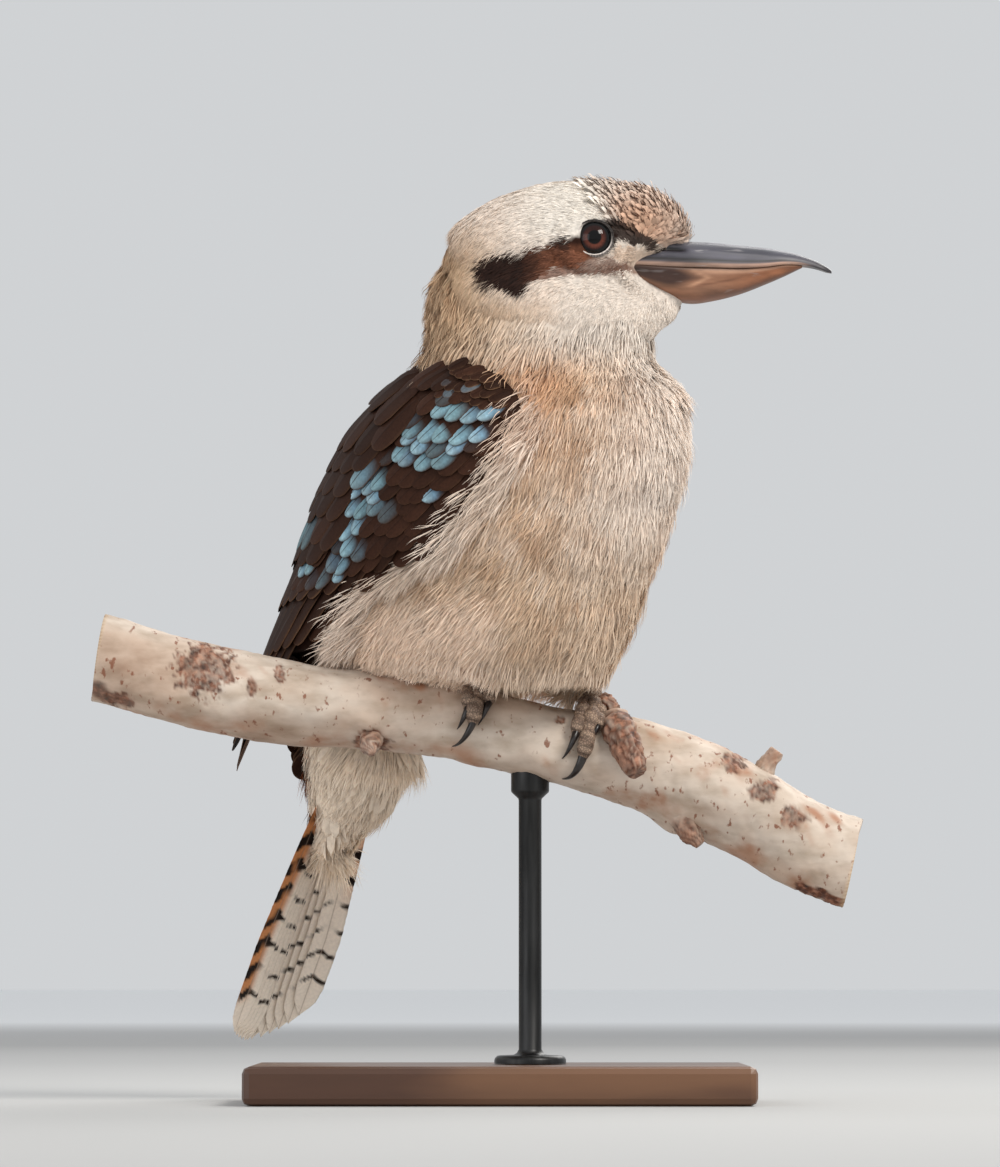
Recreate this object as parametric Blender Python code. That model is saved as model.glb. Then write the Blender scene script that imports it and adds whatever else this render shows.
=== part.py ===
"""A laughing kookaburra, life size, perched on a cut length of branch on a display stand.

Metres, +Z up. The origin is the centre of the base's underside. +X runs along the branch towards
the side the bill points to, and +Y runs away from the side the bird is seen from.
The bird's own right wing is the one seen on the left of that view.
"""

import math
import random

import bmesh
import bpy
import numpy as np
from mathutils import Matrix

# Driving sizes
GAP = 0.0003
SHELL_LIMIT = 2.0
TAIL_LENGTH = 0.164
RECTRIX_PAIRS = 6
EYE_RADIUS = 0.009
HEAD_MIDLINE = -0.018
NECK_FOOT = 0.305
TAIL_TOP = 0.164
WING_CORE = 0.0040
VANE_THICKNESS = 0.0007
LAYER_STEP = 0.0009

# How finely the round forms are faceted
BODY_SIDES = 20
TORSO_RINGS = 19
COVERT_RINGS = 9
NECK_RINGS = 5
HEAD_RINGS = 14
BILL_RINGS = 9
BILL_SIDES = 8
PERCH_RINGS = 25
PERCH_SIDES = 14
STUB_SIDES = 8
ROD_SIDES = 14
TOE_RINGS = 5
TOE_SIDES = 6
SHARP_EDGE = math.radians(40)

# Display stand
BASE_LENGTH = 0.210
BASE_DEPTH = 0.130
BASE_HEIGHT = 0.016
BASE_BEVEL = 0.003
ROD_X = 0.0126
ROD_RADIUS = 0.0048
ROD_TOP = 0.146
FLANGE_RADIUS = 0.0150
FLANGE_HEIGHT = 0.0035
COLLAR_RADIUS = 0.0080
COLLAR_FOOT = 0.1270

# Torso in level slices, upwards: height, left edge, right edge, depth of the centre,
# half breadth across the bird, and how far it is turned towards the viewer in degrees
TORSO_ROWS = [
    (0.1640, -0.083, -0.025, 0.045, 0.0270, 51),
    (0.1690, -0.0835, -0.010, 0.040, 0.0290, 47),
    (0.1717, -0.084, 0.012, 0.034, 0.0310, 43),
    (0.1740, -0.084, 0.031, 0.027, 0.0350, 41),
    (0.1770, -0.084, 0.043, 0.021, 0.0400, 40),
    (0.1820, -0.084, 0.0495, 0.016, 0.0450, 40),
    (0.1900, -0.0845, 0.054, 0.012, 0.0490, 40),
    (0.2020, -0.083, 0.0595, 0.008, 0.0515, 39),
    (0.2190, -0.0805, 0.0655, 0.004, 0.0530, 38),
    (0.2355, -0.077, 0.0715, -0.001, 0.0540, 37),
    (0.2520, -0.071, 0.076, -0.005, 0.0540, 35),
    (0.2640, -0.0655, 0.079, -0.008, 0.0535, 34),
    (0.2755, -0.0595, 0.080, -0.010, 0.0525, 32),
    (0.2850, -0.0525, 0.079, -0.012, 0.0505, 30),
    (0.2935, -0.045, 0.0775, -0.0135, 0.0475, 27),
    (0.2995, -0.040, 0.0755, -0.014, 0.0445, 24),
    (0.3050, -0.0355, 0.0715, -0.0145, 0.0415, 20),
]

# The tail coverts' cone below the torso, in the same slices
COVERT_ROWS = [
    (0.1040, -0.0735, -0.0665, 0.066, 0.0080, 52),
    (0.1090, -0.0795, -0.0600, 0.064, 0.0110, 52),
    (0.1190, -0.0820, -0.0505, 0.060, 0.0145, 52),
    (0.1265, -0.0835, -0.0430, 0.057, 0.0180, 52),
    (0.1350, -0.0845, -0.0385, 0.054, 0.0215, 52),
    (0.1470, -0.0850, -0.0325, 0.050, 0.0250, 52),
    (0.1640, -0.0830, -0.0250, 0.045, 0.0270, 51),
]

NECK_ROWS = [
    (0.3050, -0.0355, 0.0715, -0.0145, 0.0415, 20),
    (0.3110, -0.0335, 0.0675, -0.015, 0.0395, 17),
    (0.3165, -0.0325, 0.0665, -0.016, 0.0380, 14),
    (0.3225, -0.0315, 0.0690, -0.017, 0.0355, 10),
    (0.3300, -0.0290, 0.0600, -0.018, 0.0300, 6),
    (0.3420, -0.0200, 0.0450, -0.018, 0.0220, 0),
]

# The surface that the folded wings lie on: the torso's own, then out past it to the wing tips
WING_ROWS = [
    (0.1340, -0.1135, -0.0600, 0.062, 0.0200, 52),
    (0.1500, -0.1085, -0.0440, 0.052, 0.0270, 52),
    (0.1620, -0.1040, -0.0240, 0.042, 0.0320, 50),
    (0.1740, -0.0990, 0.0000, 0.031, 0.0380, 48),
    (0.1940, -0.0915, 0.0410, 0.015, 0.0480, 43),
    (0.2080, -0.0860, 0.0580, 0.007, 0.0520, 40),
    (0.2190, -0.0820, 0.0650, 0.004, 0.0530, 38),
] + TORSO_ROWS[9:]

# Head profile along the bill's direction: place, crown, throat, half breadth
HEAD_ROWS = [
    (-0.0228, 0.3575, 0.3535, 0.0040),
    (-0.0188, 0.3669, 0.3412, 0.0170),
    (-0.0126, 0.3724, 0.3328, 0.0240),
    (-0.0042, 0.3775, 0.3273, 0.0285),
    (0.0084, 0.3825, 0.3240, 0.0310),
    (0.0230, 0.3857, 0.3223, 0.0310),
    (0.0377, 0.3863, 0.3223, 0.0280),
    (0.0502, 0.3849, 0.3240, 0.0240),
    (0.0607, 0.3821, 0.3265, 0.0200),
    (0.0691, 0.3779, 0.3299, 0.0170),
    (0.0753, 0.3720, 0.3324, 0.0140),
    (0.0787, 0.3652, 0.3341, 0.0110),
    (0.0800, 0.3600, 0.3370, 0.0080),
]
GAPE_HEIGHT = 0.3478
GAPE_START = 0.046
GAPE_RUN = 0.016
CHEEK_PINCH = 0.36
CHEEK_REACH = 0.008

# Bill halves: place, upper edge, lower edge, half breadth
UPPER_BILL_ROWS = [
    (0.0490, 0.3535, 0.34825, 0.0150),
    (0.0586, 0.3585, 0.3480, 0.0148),
    (0.0691, 0.3600, 0.3475, 0.0142),
    (0.0795, 0.3591, 0.3473, 0.0136),
    (0.0900, 0.3585, 0.3473, 0.0122),
    (0.1005, 0.3574, 0.3474, 0.0106),
    (0.1109, 0.3564, 0.3482, 0.0088),
    (0.1193, 0.3551, 0.3494, 0.0070),
    (0.1268, 0.3532, 0.3494, 0.0050),
    (0.1327, 0.3509, 0.3482, 0.0032),
    (0.1369, 0.3486, 0.3467, 0.0017),
    (0.1387, 0.3472, 0.3463, 0.0007),
]
LOWER_BILL_ROWS = [
    (0.0490, 0.34795, 0.3450, 0.0150),
    (0.0586, 0.3477, 0.3404, 0.0148),
    (0.0691, 0.3472, 0.3358, 0.0142),
    (0.0795, 0.3470, 0.3334, 0.0130),
    (0.0900, 0.3470, 0.3347, 0.0114),
    (0.1005, 0.3471, 0.3374, 0.0094),
    (0.1109, 0.3479, 0.3414, 0.0070),
    (0.1193, 0.3491, 0.3450, 0.0046),
    (0.1247, 0.3491, 0.3476, 0.0024),
    (0.1264, 0.3491, 0.3484, 0.0010),
]
NOSTRIL_PLACE = (0.0725, 0.0136, 0.3565)
NOSTRIL_RADII = (0.0045, 0.0012, 0.0008)

EYE_PLACE = (0.0390, 0.0215, 0.3575)
LID_RING = 0.0079
LID_RADIUS = 0.0013

# Branch along X: place, height of the middle, radius
PERCH_ROWS = [
    (-0.168, 0.1860, 0.0189),
    (-0.126, 0.1738, 0.0178),
    (-0.084, 0.1666, 0.0174),
    (-0.042, 0.1637, 0.0166),
    (-0.021, 0.1608, 0.0164),
    (0.000, 0.1545, 0.0158),
    (0.021, 0.1494, 0.0160),
    (0.042, 0.1444, 0.0168),
    (0.063, 0.1394, 0.0181),
    (0.084, 0.1318, 0.0193),
    (0.105, 0.1214, 0.0193),
    (0.126, 0.1088, 0.0189),
    (0.147, 0.1000, 0.0185),
]

# Swellings of the branch: place, turn from the top in degrees, reach and height
PERCH_LUMPS = [
    (-0.123, 62, 0.010, 0.0016),
    (-0.054, 118, 0.006, 0.0020),
    (0.047, 35, 0.012, 0.0030),
    (0.079, 172, 0.009, 0.0030),
    (0.111, 60, 0.008, 0.0018),
    (0.122, 75, 0.008, 0.0016),
]
LUMP_ARC = 0.017

# What stands off the branch: each one's path, and its radius at each place
PERCH_STUBS = {
    "stub": (
        [(0.0480, -0.004, 0.1580), (0.0495, -0.0150, 0.1550), (0.0525, -0.0230, 0.1475),
         (0.0565, -0.0290, 0.1370)],
        [0.0074, 0.0070, 0.0064, 0.0044],
    ),
    "crest": (
        [(0.0400, 0.002, 0.1560), (0.0440, -0.002, 0.1665), (0.0480, -0.006, 0.1640)],
        [0.0065, 0.0048, 0.0030],
    ),
    "thorn": (
        [(-0.0535, -0.010, 0.1520), (-0.0545, -0.0180, 0.1475), (-0.0530, -0.0215, 0.1450)],
        [0.0050, 0.0036, 0.0014],
    ),
    "twig": (
        [(0.1080, 0.000, 0.1300), (0.1110, -0.002, 0.1400), (0.1160, -0.003, 0.1470)],
        [0.0060, 0.0042, 0.0030],
    ),
    "lower": (
        [(0.0760, -0.006, 0.1200), (0.0800, -0.009, 0.1115), (0.0835, -0.010, 0.1075)],
        [0.0065, 0.0046, 0.0022],
    ),
}

# Folded wing: its leading and back edges, as height and turn round the body in degrees
WING_LEADING_EDGE = [
    (0.1340, -147),
    (0.1540, -138),
    (0.1740, -126),
    (0.1860, -116),
    (0.1940, -113),
    (0.2055, -113),
    (0.2135, -110),
    (0.2210, -99),
    (0.2280, -86),
    (0.2400, -78),
    (0.2595, -73),
    (0.2755, -70),
    (0.2885, -74),
    (0.3030, -96),
]
WING_BACK_EDGE = [
    (0.1340, -149),
    (0.1540, -160),
    (0.1740, -168),
    (0.1940, -172),
    (0.2100, -174),
    (0.2520, -174),
    (0.2750, -170),
    (0.2930, -156),
    (0.3030, -130),
]
WING_CORE_FOOT = 0.1900
WING_CORE_EDGE = 0.0022
WING_TOP = 0.3020
WING_SHOULDER = (0.2980, -84)
WING_TIP = (0.1340, -148)
WING_BEYOND = 0.060

# Vane rows of a wing from the shoulder down: the first root's height and turn at the leading
# edge, the last root's at the back, how many, their first and last length, and their breadth
WING_VANES = [
    ((0.2900, -86), (0.2950, -140), 4, 0.027, 0.025, 0.0220),
    ((0.2750, -81), (0.2800, -155), 5, 0.032, 0.030, 0.0235),
    ((0.2570, -84), (0.2600, -162), 5, 0.035, 0.036, 0.0260),
    ((0.2380, -92), (0.2400, -164), 6, 0.036, 0.046, 0.0205),
    ((0.2190, -110), (0.2220, -163), 5, 0.042, 0.064, 0.0185),
    ((0.2050, -128), (0.2050, -160), 5, 0.094, 0.050, 0.0120),
]
VANE_PROFILE = [(0.0, 0.60), (0.40, 0.98), (0.80, 0.90), (1.0, 0.34)]
VANE_SINK = 0.0011
VANE_RISE = 0.0024
VANE_TILT = 0.08
VANE_CROWN = 0.0004
VANE_STEPS = 10
WING_SEEDS = {"right": 7, "left": 8}
BODY_BEND = 0.055

# Tail: the ends of its middle line and its turn towards the viewer in degrees
TAIL_ROOT = (-0.0540, 0.0470, 0.1706)
TAIL_TIP = (-0.1080, 0.1080, 0.0240)
TAIL_TURN = 50
TAIL_LIFT = 0.0030
TAIL_BEND = 0.070
TAIL_STEPS = [0.0, 0.0020, 0.0045, 0.0075, 0.0110, 0.0160]
TAIL_RIGHT_SHARE = 0.5
RECTRIX_START = 0.022
RECTRIX_SPACING = 0.0030
RECTRIX_FAN = 0.110
RECTRIX_BREADTH = 0.0130
RECTRIX_THICKNESS = 0.0006
RECTRIX_PROFILE = [(0.0, 0.50), (0.50, 0.95), (0.92, 0.94), (1.0, 0.35)]

# Feet: where each stands on the branch, and for each toe its start and end along the branch,
# its start and end round it in degrees from the top, its radius, then its claw's reach and swing
SHANK_LENGTH = 0.0120
CLAW_RADIUS = 0.0021
CLAW_TIP = 0.0004
CLAW_BOW = 0.0022
TOE_ARCH = 0.0012
PALM_RADII = (0.0062, 0.0070, 0.0036)
HOLLOW_RADII = (0.0076, 0.0084, 0.0052)
FEET = {
    "right": (-0.0168, [
        ("inner", (-0.0140, -0.0078, -5, 62, 0.0026), 34, -0.0012),
        ("middle", (-0.0168, -0.0112, -5, 92, 0.0030), 46, -0.0055),
        ("outer", (-0.0200, -0.0148, -5, 76, 0.0026), 34, -0.0018),
        ("hind", (-0.0168, -0.0150, -8, -78, 0.0028), 42, 0.0010),
    ]),
    "left": (0.0348, [
        ("inner", (0.0368, 0.0380, -5, 58, 0.0025), 24, -0.0022),
        ("middle", (0.0348, 0.0350, -5, 98, 0.0029), 46, -0.0060),
        ("outer", (0.0312, 0.0300, -5, 72, 0.0026), 40, -0.0030),
        ("hind", (0.0348, 0.0360, -8, -78, 0.0028), 42, 0.0010),
    ]),
}

FINISH = {
    "torso": ((0.78, 0.69, 0.58), 0.85),
    "neck": ((0.80, 0.72, 0.62), 0.85),
    "head": ((0.82, 0.76, 0.66), 0.85),
    "tail": ((0.70, 0.62, 0.54), 0.80),
    "wing": ((0.075, 0.050, 0.036), 0.70),
    "bill_upper": ((0.10, 0.10, 0.11), 0.35),
    "bill_lower": ((0.42, 0.24, 0.13), 0.40),
    "eye": ((0.030, 0.010, 0.006), 0.08),
    "leg": ((0.78, 0.69, 0.58), 0.85),
    "foot": ((0.22, 0.19, 0.16), 0.60),
    "claw": ((0.02, 0.02, 0.02), 0.30),
    "perch_branch": ((0.74, 0.64, 0.54), 0.75),
    "stand_base": ((0.16, 0.09, 0.05), 0.45),
    "stand_rod": ((0.05, 0.05, 0.05), 0.40),
}


class Profile:
    """A smooth curve through the rows of a table, read by the rows' first value."""

    def __init__(self, rows):
        table = np.array(sorted(rows), dtype=float)
        self.keys = table[:, 0]
        self.values = table[:, 1:]
        steps = np.diff(self.keys)[:, None]
        slopes = np.diff(self.values, axis=0) / steps
        inner = (slopes[:-1] * steps[1:] + slopes[1:] * steps[:-1]) / (steps[1:] + steps[:-1])
        self.slopes = np.vstack([slopes[:1], inner, slopes[-1:]])

    def at(self, key):
        key = min(max(key, self.keys[0]), self.keys[-1])
        i = min(int(np.searchsorted(self.keys, key, side="right")) - 1, len(self.keys) - 2)
        step = self.keys[i + 1] - self.keys[i]
        t = (key - self.keys[i]) / step
        near = (1 + 2 * t) * (1 - t) ** 2 * self.values[i] + t * (1 - t) ** 2 * step * self.slopes[i]
        far = t * t * (3 - 2 * t) * self.values[i + 1] - t * t * (1 - t) * step * self.slopes[i + 1]
        return near + far

    def places(self, count):
        """Keys that keep every row and share the rest evenly between them."""
        marks = np.interp(np.linspace(0, 1, count), np.linspace(0, 1, len(self.keys)), self.keys)
        return [float(mark) for mark in marks]


TORSO = Profile(TORSO_ROWS)
COVERTS = Profile(COVERT_ROWS)
NECK = Profile(NECK_ROWS)
WING = Profile(WING_ROWS)
HEAD = Profile(HEAD_ROWS)
UPPER_BILL = Profile(UPPER_BILL_ROWS)
LOWER_BILL = Profile(LOWER_BILL_ROWS)
PERCH = Profile(PERCH_ROWS)


def material(name):
    kind = name if name in FINISH else name.split("_")[0]
    colour, roughness = FINISH[kind]
    made = bpy.data.materials.new(name)
    made.use_nodes = True
    shader = made.node_tree.nodes["Principled BSDF"]
    shader.inputs["Base Color"].default_value = (*colour, 1.0)
    shader.inputs["Roughness"].default_value = roughness
    shader.inputs["Metallic"].default_value = 0.9 if name == "stand_rod" else 0.0
    return made


def solid(name, points, faces):
    """A closed mesh object with its faces turned outwards."""
    mesh = bpy.data.meshes.new(name)
    mesh.from_pydata([tuple(p) for p in points], [], faces)
    form = bmesh.new()
    form.from_mesh(mesh)
    if form.calc_volume(signed=True) < 0:
        bmesh.ops.reverse_faces(form, faces=form.faces)
    form.to_mesh(mesh)
    form.free()
    thing = bpy.data.objects.new(name, mesh)
    bpy.context.collection.objects.link(thing)
    return thing


def loft(name, rings):
    """A closed solid through rings of equal count, its two ends closed round their middles."""
    count = len(rings[0])
    points = [point for ring in rings for point in ring]
    faces = []
    for i in range(len(rings) - 1):
        for j in range(count):
            a = i * count + j
            b = i * count + (j + 1) % count
            faces.append((a, b, b + count))
            faces.append((a, b + count, a + count))
    last = (len(rings) - 1) * count
    for start, order in ((0, -1), (last, 1)):
        points.append(np.mean(points[start : start + count], axis=0))
        middle = len(points) - 1
        for j in range(count):
            edge = (start + j, start + (j + 1) % count)[::order]
            faces.append((middle, *edge))
    return solid(name, points, faces)


def body_frame(profile, height):
    """Centre, forward and left directions and half sizes of a level slice through the body."""
    left_edge, right_edge, depth, half_breadth, turn = profile.at(height)
    turn = math.radians(turn)
    half_seen = (right_edge - left_edge) / 2
    across = half_breadth * math.sin(turn)
    half_length = math.sqrt(max(half_seen**2 - across**2, (0.3 * half_seen) ** 2)) / math.cos(turn)
    centre = np.array([(left_edge + right_edge) / 2, depth, height])
    forward = np.array([math.cos(turn), -math.sin(turn), 0.0])
    leftward = np.array([math.sin(turn), math.cos(turn), 0.0])
    return centre, forward, leftward, half_length, half_breadth


def body_point(profile, height, angle):
    """The point of a slice at an angle from the bird's front, positive to its left."""
    centre, forward, leftward, half_length, half_breadth = body_frame(profile, height)
    a = math.radians(angle)
    return centre + forward * half_length * math.cos(a) + leftward * half_breadth * math.sin(a)


def body_loft(name, profile, low, high, rings):
    heights = [h for h in profile.places(rings) if low < h < high]
    heights = [low, *heights, high]
    turns = [360 * i / BODY_SIDES for i in range(BODY_SIDES)]
    return loft(name, [[body_point(profile, h, turn) for turn in turns] for h in heights])


def tube(name, path, radii, sides, flat=1.0):
    """A round tube along a path, each ring square to it; flat under 1 squeezes it sideways."""
    path = [np.array(p, dtype=float) for p in path]
    rings = []
    guide = np.array([0.31, 0.22, 0.93])
    for i, place in enumerate(path):
        ahead = path[min(i + 1, len(path) - 1)] - path[max(i - 1, 0)]
        ahead /= np.linalg.norm(ahead)
        side = np.cross(guide, ahead)
        side /= np.linalg.norm(side)
        guide = np.cross(ahead, side)
        ring = []
        for j in range(sides):
            a = 2 * math.pi * j / sides
            ring.append(place + radii[i] * (math.cos(a) * flat * side + math.sin(a) * guide))
        rings.append(ring)
    return loft(name, rings)


def ball(name, centre, radii, rings, sides):
    layers = []
    for i in range(rings):
        tilt = math.pi * (i + 0.35) / (rings - 0.3)
        layer = []
        for j in range(sides):
            a = 2 * math.pi * j / sides
            direction = (math.sin(tilt) * math.cos(a), math.sin(tilt) * math.sin(a), math.cos(tilt))
            layer.append(np.array(centre) + np.array(radii) * np.array(direction))
        layers.append(layer)
    return loft(name, layers)


def grown(thing, by=GAP):
    """A copy pushed outwards, as a cutter that leaves a gap."""
    copy = thing.copy()
    copy.data = thing.data.copy()
    copy.name = thing.name + "_cutter"
    bpy.context.collection.objects.link(copy)
    form = bmesh.new()
    form.from_mesh(copy.data)
    form.normal_update()
    moves = [(v, v.normal * by * min(v.calc_shell_factor(), SHELL_LIMIT)) for v in form.verts]
    for vertex, move in moves:
        vertex.co += move
    form.to_mesh(copy.data)
    form.free()
    return copy


def largest(thing):
    """Keeps the largest closed surface of an object."""
    form = bmesh.new()
    form.from_mesh(thing.data)
    bmesh.ops.triangulate(form, faces=form.faces)
    unseen = set(form.faces)
    groups = []
    while unseen:
        group = [unseen.pop()]
        for face in group:
            for edge in face.edges:
                for other in edge.link_faces:
                    if other in unseen:
                        unseen.discard(other)
                        group.append(other)
        groups.append(group)
    keep = set(max(groups, key=lambda group: sum(face.calc_area() for face in group)))
    bmesh.ops.delete(form, geom=[face for face in form.faces if face not in keep], context="FACES")
    form.to_mesh(thing.data)
    form.free()


def combine(thing, others, operation, solver="EXACT"):
    """One Boolean with a collection of closed pieces, which are then removed."""
    if not others:
        return thing
    group = bpy.data.collections.new(thing.name + "_pieces")
    bpy.context.scene.collection.children.link(group)
    for piece in others:
        for holder in list(piece.users_collection):
            holder.objects.unlink(piece)
        group.objects.link(piece)
    boolean = thing.modifiers.new("join", "BOOLEAN")
    boolean.operation = operation
    boolean.operand_type = "COLLECTION"
    boolean.collection = group
    boolean.solver = solver
    graph = bpy.context.evaluated_depsgraph_get()
    result = bpy.data.meshes.new_from_object(thing.evaluated_get(graph))
    thing.modifiers.remove(boolean)
    thing.data = result
    for piece in others:
        bpy.data.objects.remove(piece)
    bpy.data.collections.remove(group)
    largest(thing)
    return thing


def cut(thing, cutters, solver="EXACT"):
    for cutter in cutters:
        combine(thing, [cutter], "DIFFERENCE", solver)
    return thing


def fuse(thing, pieces, solver="EXACT"):
    return combine(thing, pieces, "UNION", solver)


def finish(thing, smooth=True):
    thing.data.materials.clear()
    thing.data.materials.append(material(thing.name))
    if smooth:
        thing.data.shade_smooth()
        thing.data.set_sharp_from_angle(angle=SHARP_EDGE)


def perch_frame(x):
    """The branch's middle, its upward direction square to its run, its run and its radius."""
    height, radius = PERCH.at(x)
    rise = (PERCH.at(x + 0.002)[0] - PERCH.at(x - 0.002)[0]) / 0.004
    run = np.array([1.0, 0.0, rise]) / math.hypot(1.0, rise)
    up = np.array([-run[2], 0.0, run[0]])
    return np.array([x, 0.0, height]), up, run, radius


def perch_point(x, turn, out):
    """A point beside the branch: turn 0 is its top and 90 its front."""
    middle, up, run, radius = perch_frame(x)
    a = math.radians(turn)
    toward = up * math.cos(a) + np.array([0.0, -1.0, 0.0]) * math.sin(a)
    return middle + toward * (radius + out)


def make_perch():
    """The branch with its swollen knots, the broken stub and the cut twig."""
    rings = []
    for x in np.linspace(PERCH_ROWS[0][0], PERCH_ROWS[-1][0], PERCH_RINGS):
        ring = []
        for j in range(PERCH_SIDES):
            turn = 360 * j / PERCH_SIDES
            out = 0.0006 * math.sin(3.1 * math.radians(turn) + 40 * x)
            out += 0.0005 * math.sin(2 * math.radians(turn) - 71 * x)
            for place, side, reach, height in PERCH_LUMPS:
                around = math.radians((turn - side + 180) % 360 - 180) * LUMP_ARC
                out += height * math.exp(-((x - place) ** 2 + around**2) / reach**2)
            ring.append(perch_point(x, turn, out))
        rings.append(ring)
    branch = loft("perch_branch", rings)
    stubs = [tube(name, path, radii, STUB_SIDES) for name, (path, radii) in PERCH_STUBS.items()]
    return fuse(branch, stubs)


def make_stand(perch):
    """The flat base, and the rod with its flange and the collar that the branch rests in."""
    bpy.ops.mesh.primitive_cube_add(size=1, location=(0, 0, BASE_HEIGHT / 2))
    base = bpy.context.object
    base.name = "stand_base"
    base.data.transform(Matrix.Diagonal((BASE_LENGTH, BASE_DEPTH, BASE_HEIGHT, 1)))
    bevel = base.modifiers.new("rounded edges", "BEVEL")
    bevel.width = BASE_BEVEL
    bevel.segments = 2
    foot = BASE_HEIGHT + GAP
    outline = [
        (FLANGE_RADIUS, foot),
        (FLANGE_RADIUS, foot + FLANGE_HEIGHT * 0.6),
        (FLANGE_RADIUS * 0.9, foot + FLANGE_HEIGHT),
        (ROD_RADIUS + 0.0020, foot + FLANGE_HEIGHT),
        (ROD_RADIUS, foot + FLANGE_HEIGHT + 0.0020),
        (ROD_RADIUS, COLLAR_FOOT),
        (COLLAR_RADIUS, COLLAR_FOOT + 0.0030),
        (COLLAR_RADIUS, ROD_TOP),
    ]
    rings = []
    for radius, height in outline:
        ring = []
        for j in range(ROD_SIDES):
            a = 2 * math.pi * j / ROD_SIDES
            ring.append((ROD_X + radius * math.cos(a), radius * math.sin(a), height))
        rings.append(ring)
    rod = loft("stand_rod", rings)
    cut(rod, [grown(perch)])
    return base, rod


def grip_path(toe, steps):
    """A path over the branch from the top of the foot to the toe's end."""
    start, end, turn_start, turn_end, radius = toe
    path = []
    for i in range(steps):
        t = i / (steps - 1)
        out = GAP + radius + TOE_ARCH * math.sin(3 * math.pi * t) ** 2
        turn = turn_start + (turn_end - turn_start) * t
        path.append(perch_point(start + (end - start) * t, turn, out))
    return path


def claw_path(toe, reach, swing, steps):
    """A path that leaves the toe's end, bows out and comes back to the bark."""
    end, turn_end, radius = toe[1], toe[3], toe[4]
    sign = 1 if turn_end > 0 else -1
    path = []
    for i in range(steps):
        t = i / (steps - 1)
        turn = turn_end + sign * (reach * t - 3)
        out = GAP + CLAW_RADIUS + (radius - CLAW_RADIUS) * (1 - t) + CLAW_BOW * math.sin(math.pi * t)
        out -= (CLAW_RADIUS - CLAW_TIP) * t * 0.8
        path.append(perch_point(end + swing * t * t, turn, out))
    return path


def make_foot(side, x, toes):
    """One foot: four toes over the branch, joined at the ball of the foot, with the short shank."""
    pieces = []
    for name, toe, reach, swing in toes:
        radius = toe[4]
        waves = [math.sin(3 * math.pi * i / (TOE_RINGS - 1)) ** 2 for i in range(TOE_RINGS)]
        radii = [radius * (1.0 + 0.12 * wave) for wave in waves]
        radii[-1] = radius * 0.80
        pieces.append(tube("toe", grip_path(toe, TOE_RINGS), radii, TOE_SIDES))
    middle, up, run, radius = perch_frame(x)
    ball_place = middle + up * (radius + GAP + PALM_RADII[2])
    palm = ball("foot_" + side, ball_place, PALM_RADII, 4, 8)
    shank_top = ball_place + np.array([-0.0015, 0.0045, SHANK_LENGTH])
    shank = tube("shank", [ball_place, shank_top], [0.0042, 0.0036], 7)
    foot = fuse(palm, [shank, *pieces])
    claws = []
    for name, toe, reach, swing in toes:
        path = claw_path(toe, reach, swing, 5)
        radii = [CLAW_RADIUS + (CLAW_TIP - CLAW_RADIUS) * (i / 4) ** 1.2 for i in range(5)]
        claws.append(tube("claw_" + side + "_" + name, path, radii, 6, 0.8))
    hollow = ball("hollow", ball_place, HOLLOW_RADII, 5, 10)
    return foot, claws, shank_top, hollow


def make_leg(side, shank_top):
    """The feathered thigh, from the shank up into the belly."""
    ankle = shank_top - np.array([0.0, 0.0, 0.002])
    path = [ankle + np.array([-0.003 * i, 0.005 * i, 0.010 * i]) for i in range(4)]
    return tube("leg_" + side, path, [0.0054, 0.0082, 0.0096, 0.0080], 9)


def make_head():
    rings = []
    for x in HEAD.places(HEAD_RINGS):
        crown, throat, half_breadth = HEAD.at(x)
        middle = (crown + throat) / 2
        half_height = (crown - throat) / 2
        forward = min(max((x - GAPE_START) / GAPE_RUN, 0.0), 1.0)
        ring = []
        for j in range(BODY_SIDES):
            a = 2 * math.pi * j / BODY_SIDES
            height = middle + half_height * math.sin(a)
            spread = abs(math.cos(a)) ** 0.92 * (1 if math.cos(a) > 0 else -1)
            drop = (height - GAPE_HEIGHT) / CHEEK_REACH
            pinch = 1 - CHEEK_PINCH * forward * math.exp(-drop**2)
            ring.append((x, HEAD_MIDLINE + half_breadth * spread * pinch, height))
        rings.append(ring)
    return loft("head", rings)


def make_bill(name, profile, keel):
    """One half of the bill, flat along the mouth and rounded along its outer edge."""
    rings = []
    for x in profile.places(BILL_RINGS):
        upper, lower, half_breadth = profile.at(x)
        outer, inner = (upper, lower) if keel > 0 else (lower, upper)
        ring = []
        for j in range(BILL_SIDES + 1):
            a = math.pi * j / BILL_SIDES
            arch = abs(math.cos(a)) ** 0.8 * (1 if math.cos(a) > 0 else -1)
            lift = (outer - inner) * math.sin(a) ** 0.85
            ring.append((x, HEAD_MIDLINE + half_breadth * arch, inner + lift))
        for share in (-0.5, 0.0, 0.5):
            ring.append((x, HEAD_MIDLINE + half_breadth * share, inner))
        rings.append(ring)
    return loft(name, rings)


def make_eyes():
    eyes = []
    for side, sign in (("right", -1), ("left", 1)):
        x, out, height = EYE_PLACE
        centre = (x, HEAD_MIDLINE + sign * out, height)
        eyes.append(ball("eye_" + side, centre, (EYE_RADIUS,) * 3, 7, 14))
    return eyes


def nostril_cutters():
    """Two slits, one on each side of the bill's root."""
    x, out, height = NOSTRIL_PLACE
    places = [(x, HEAD_MIDLINE + sign * out, height) for sign in (-1, 1)]
    return [ball("nostril", place, NOSTRIL_RADII, 4, 8) for place in places]


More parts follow.
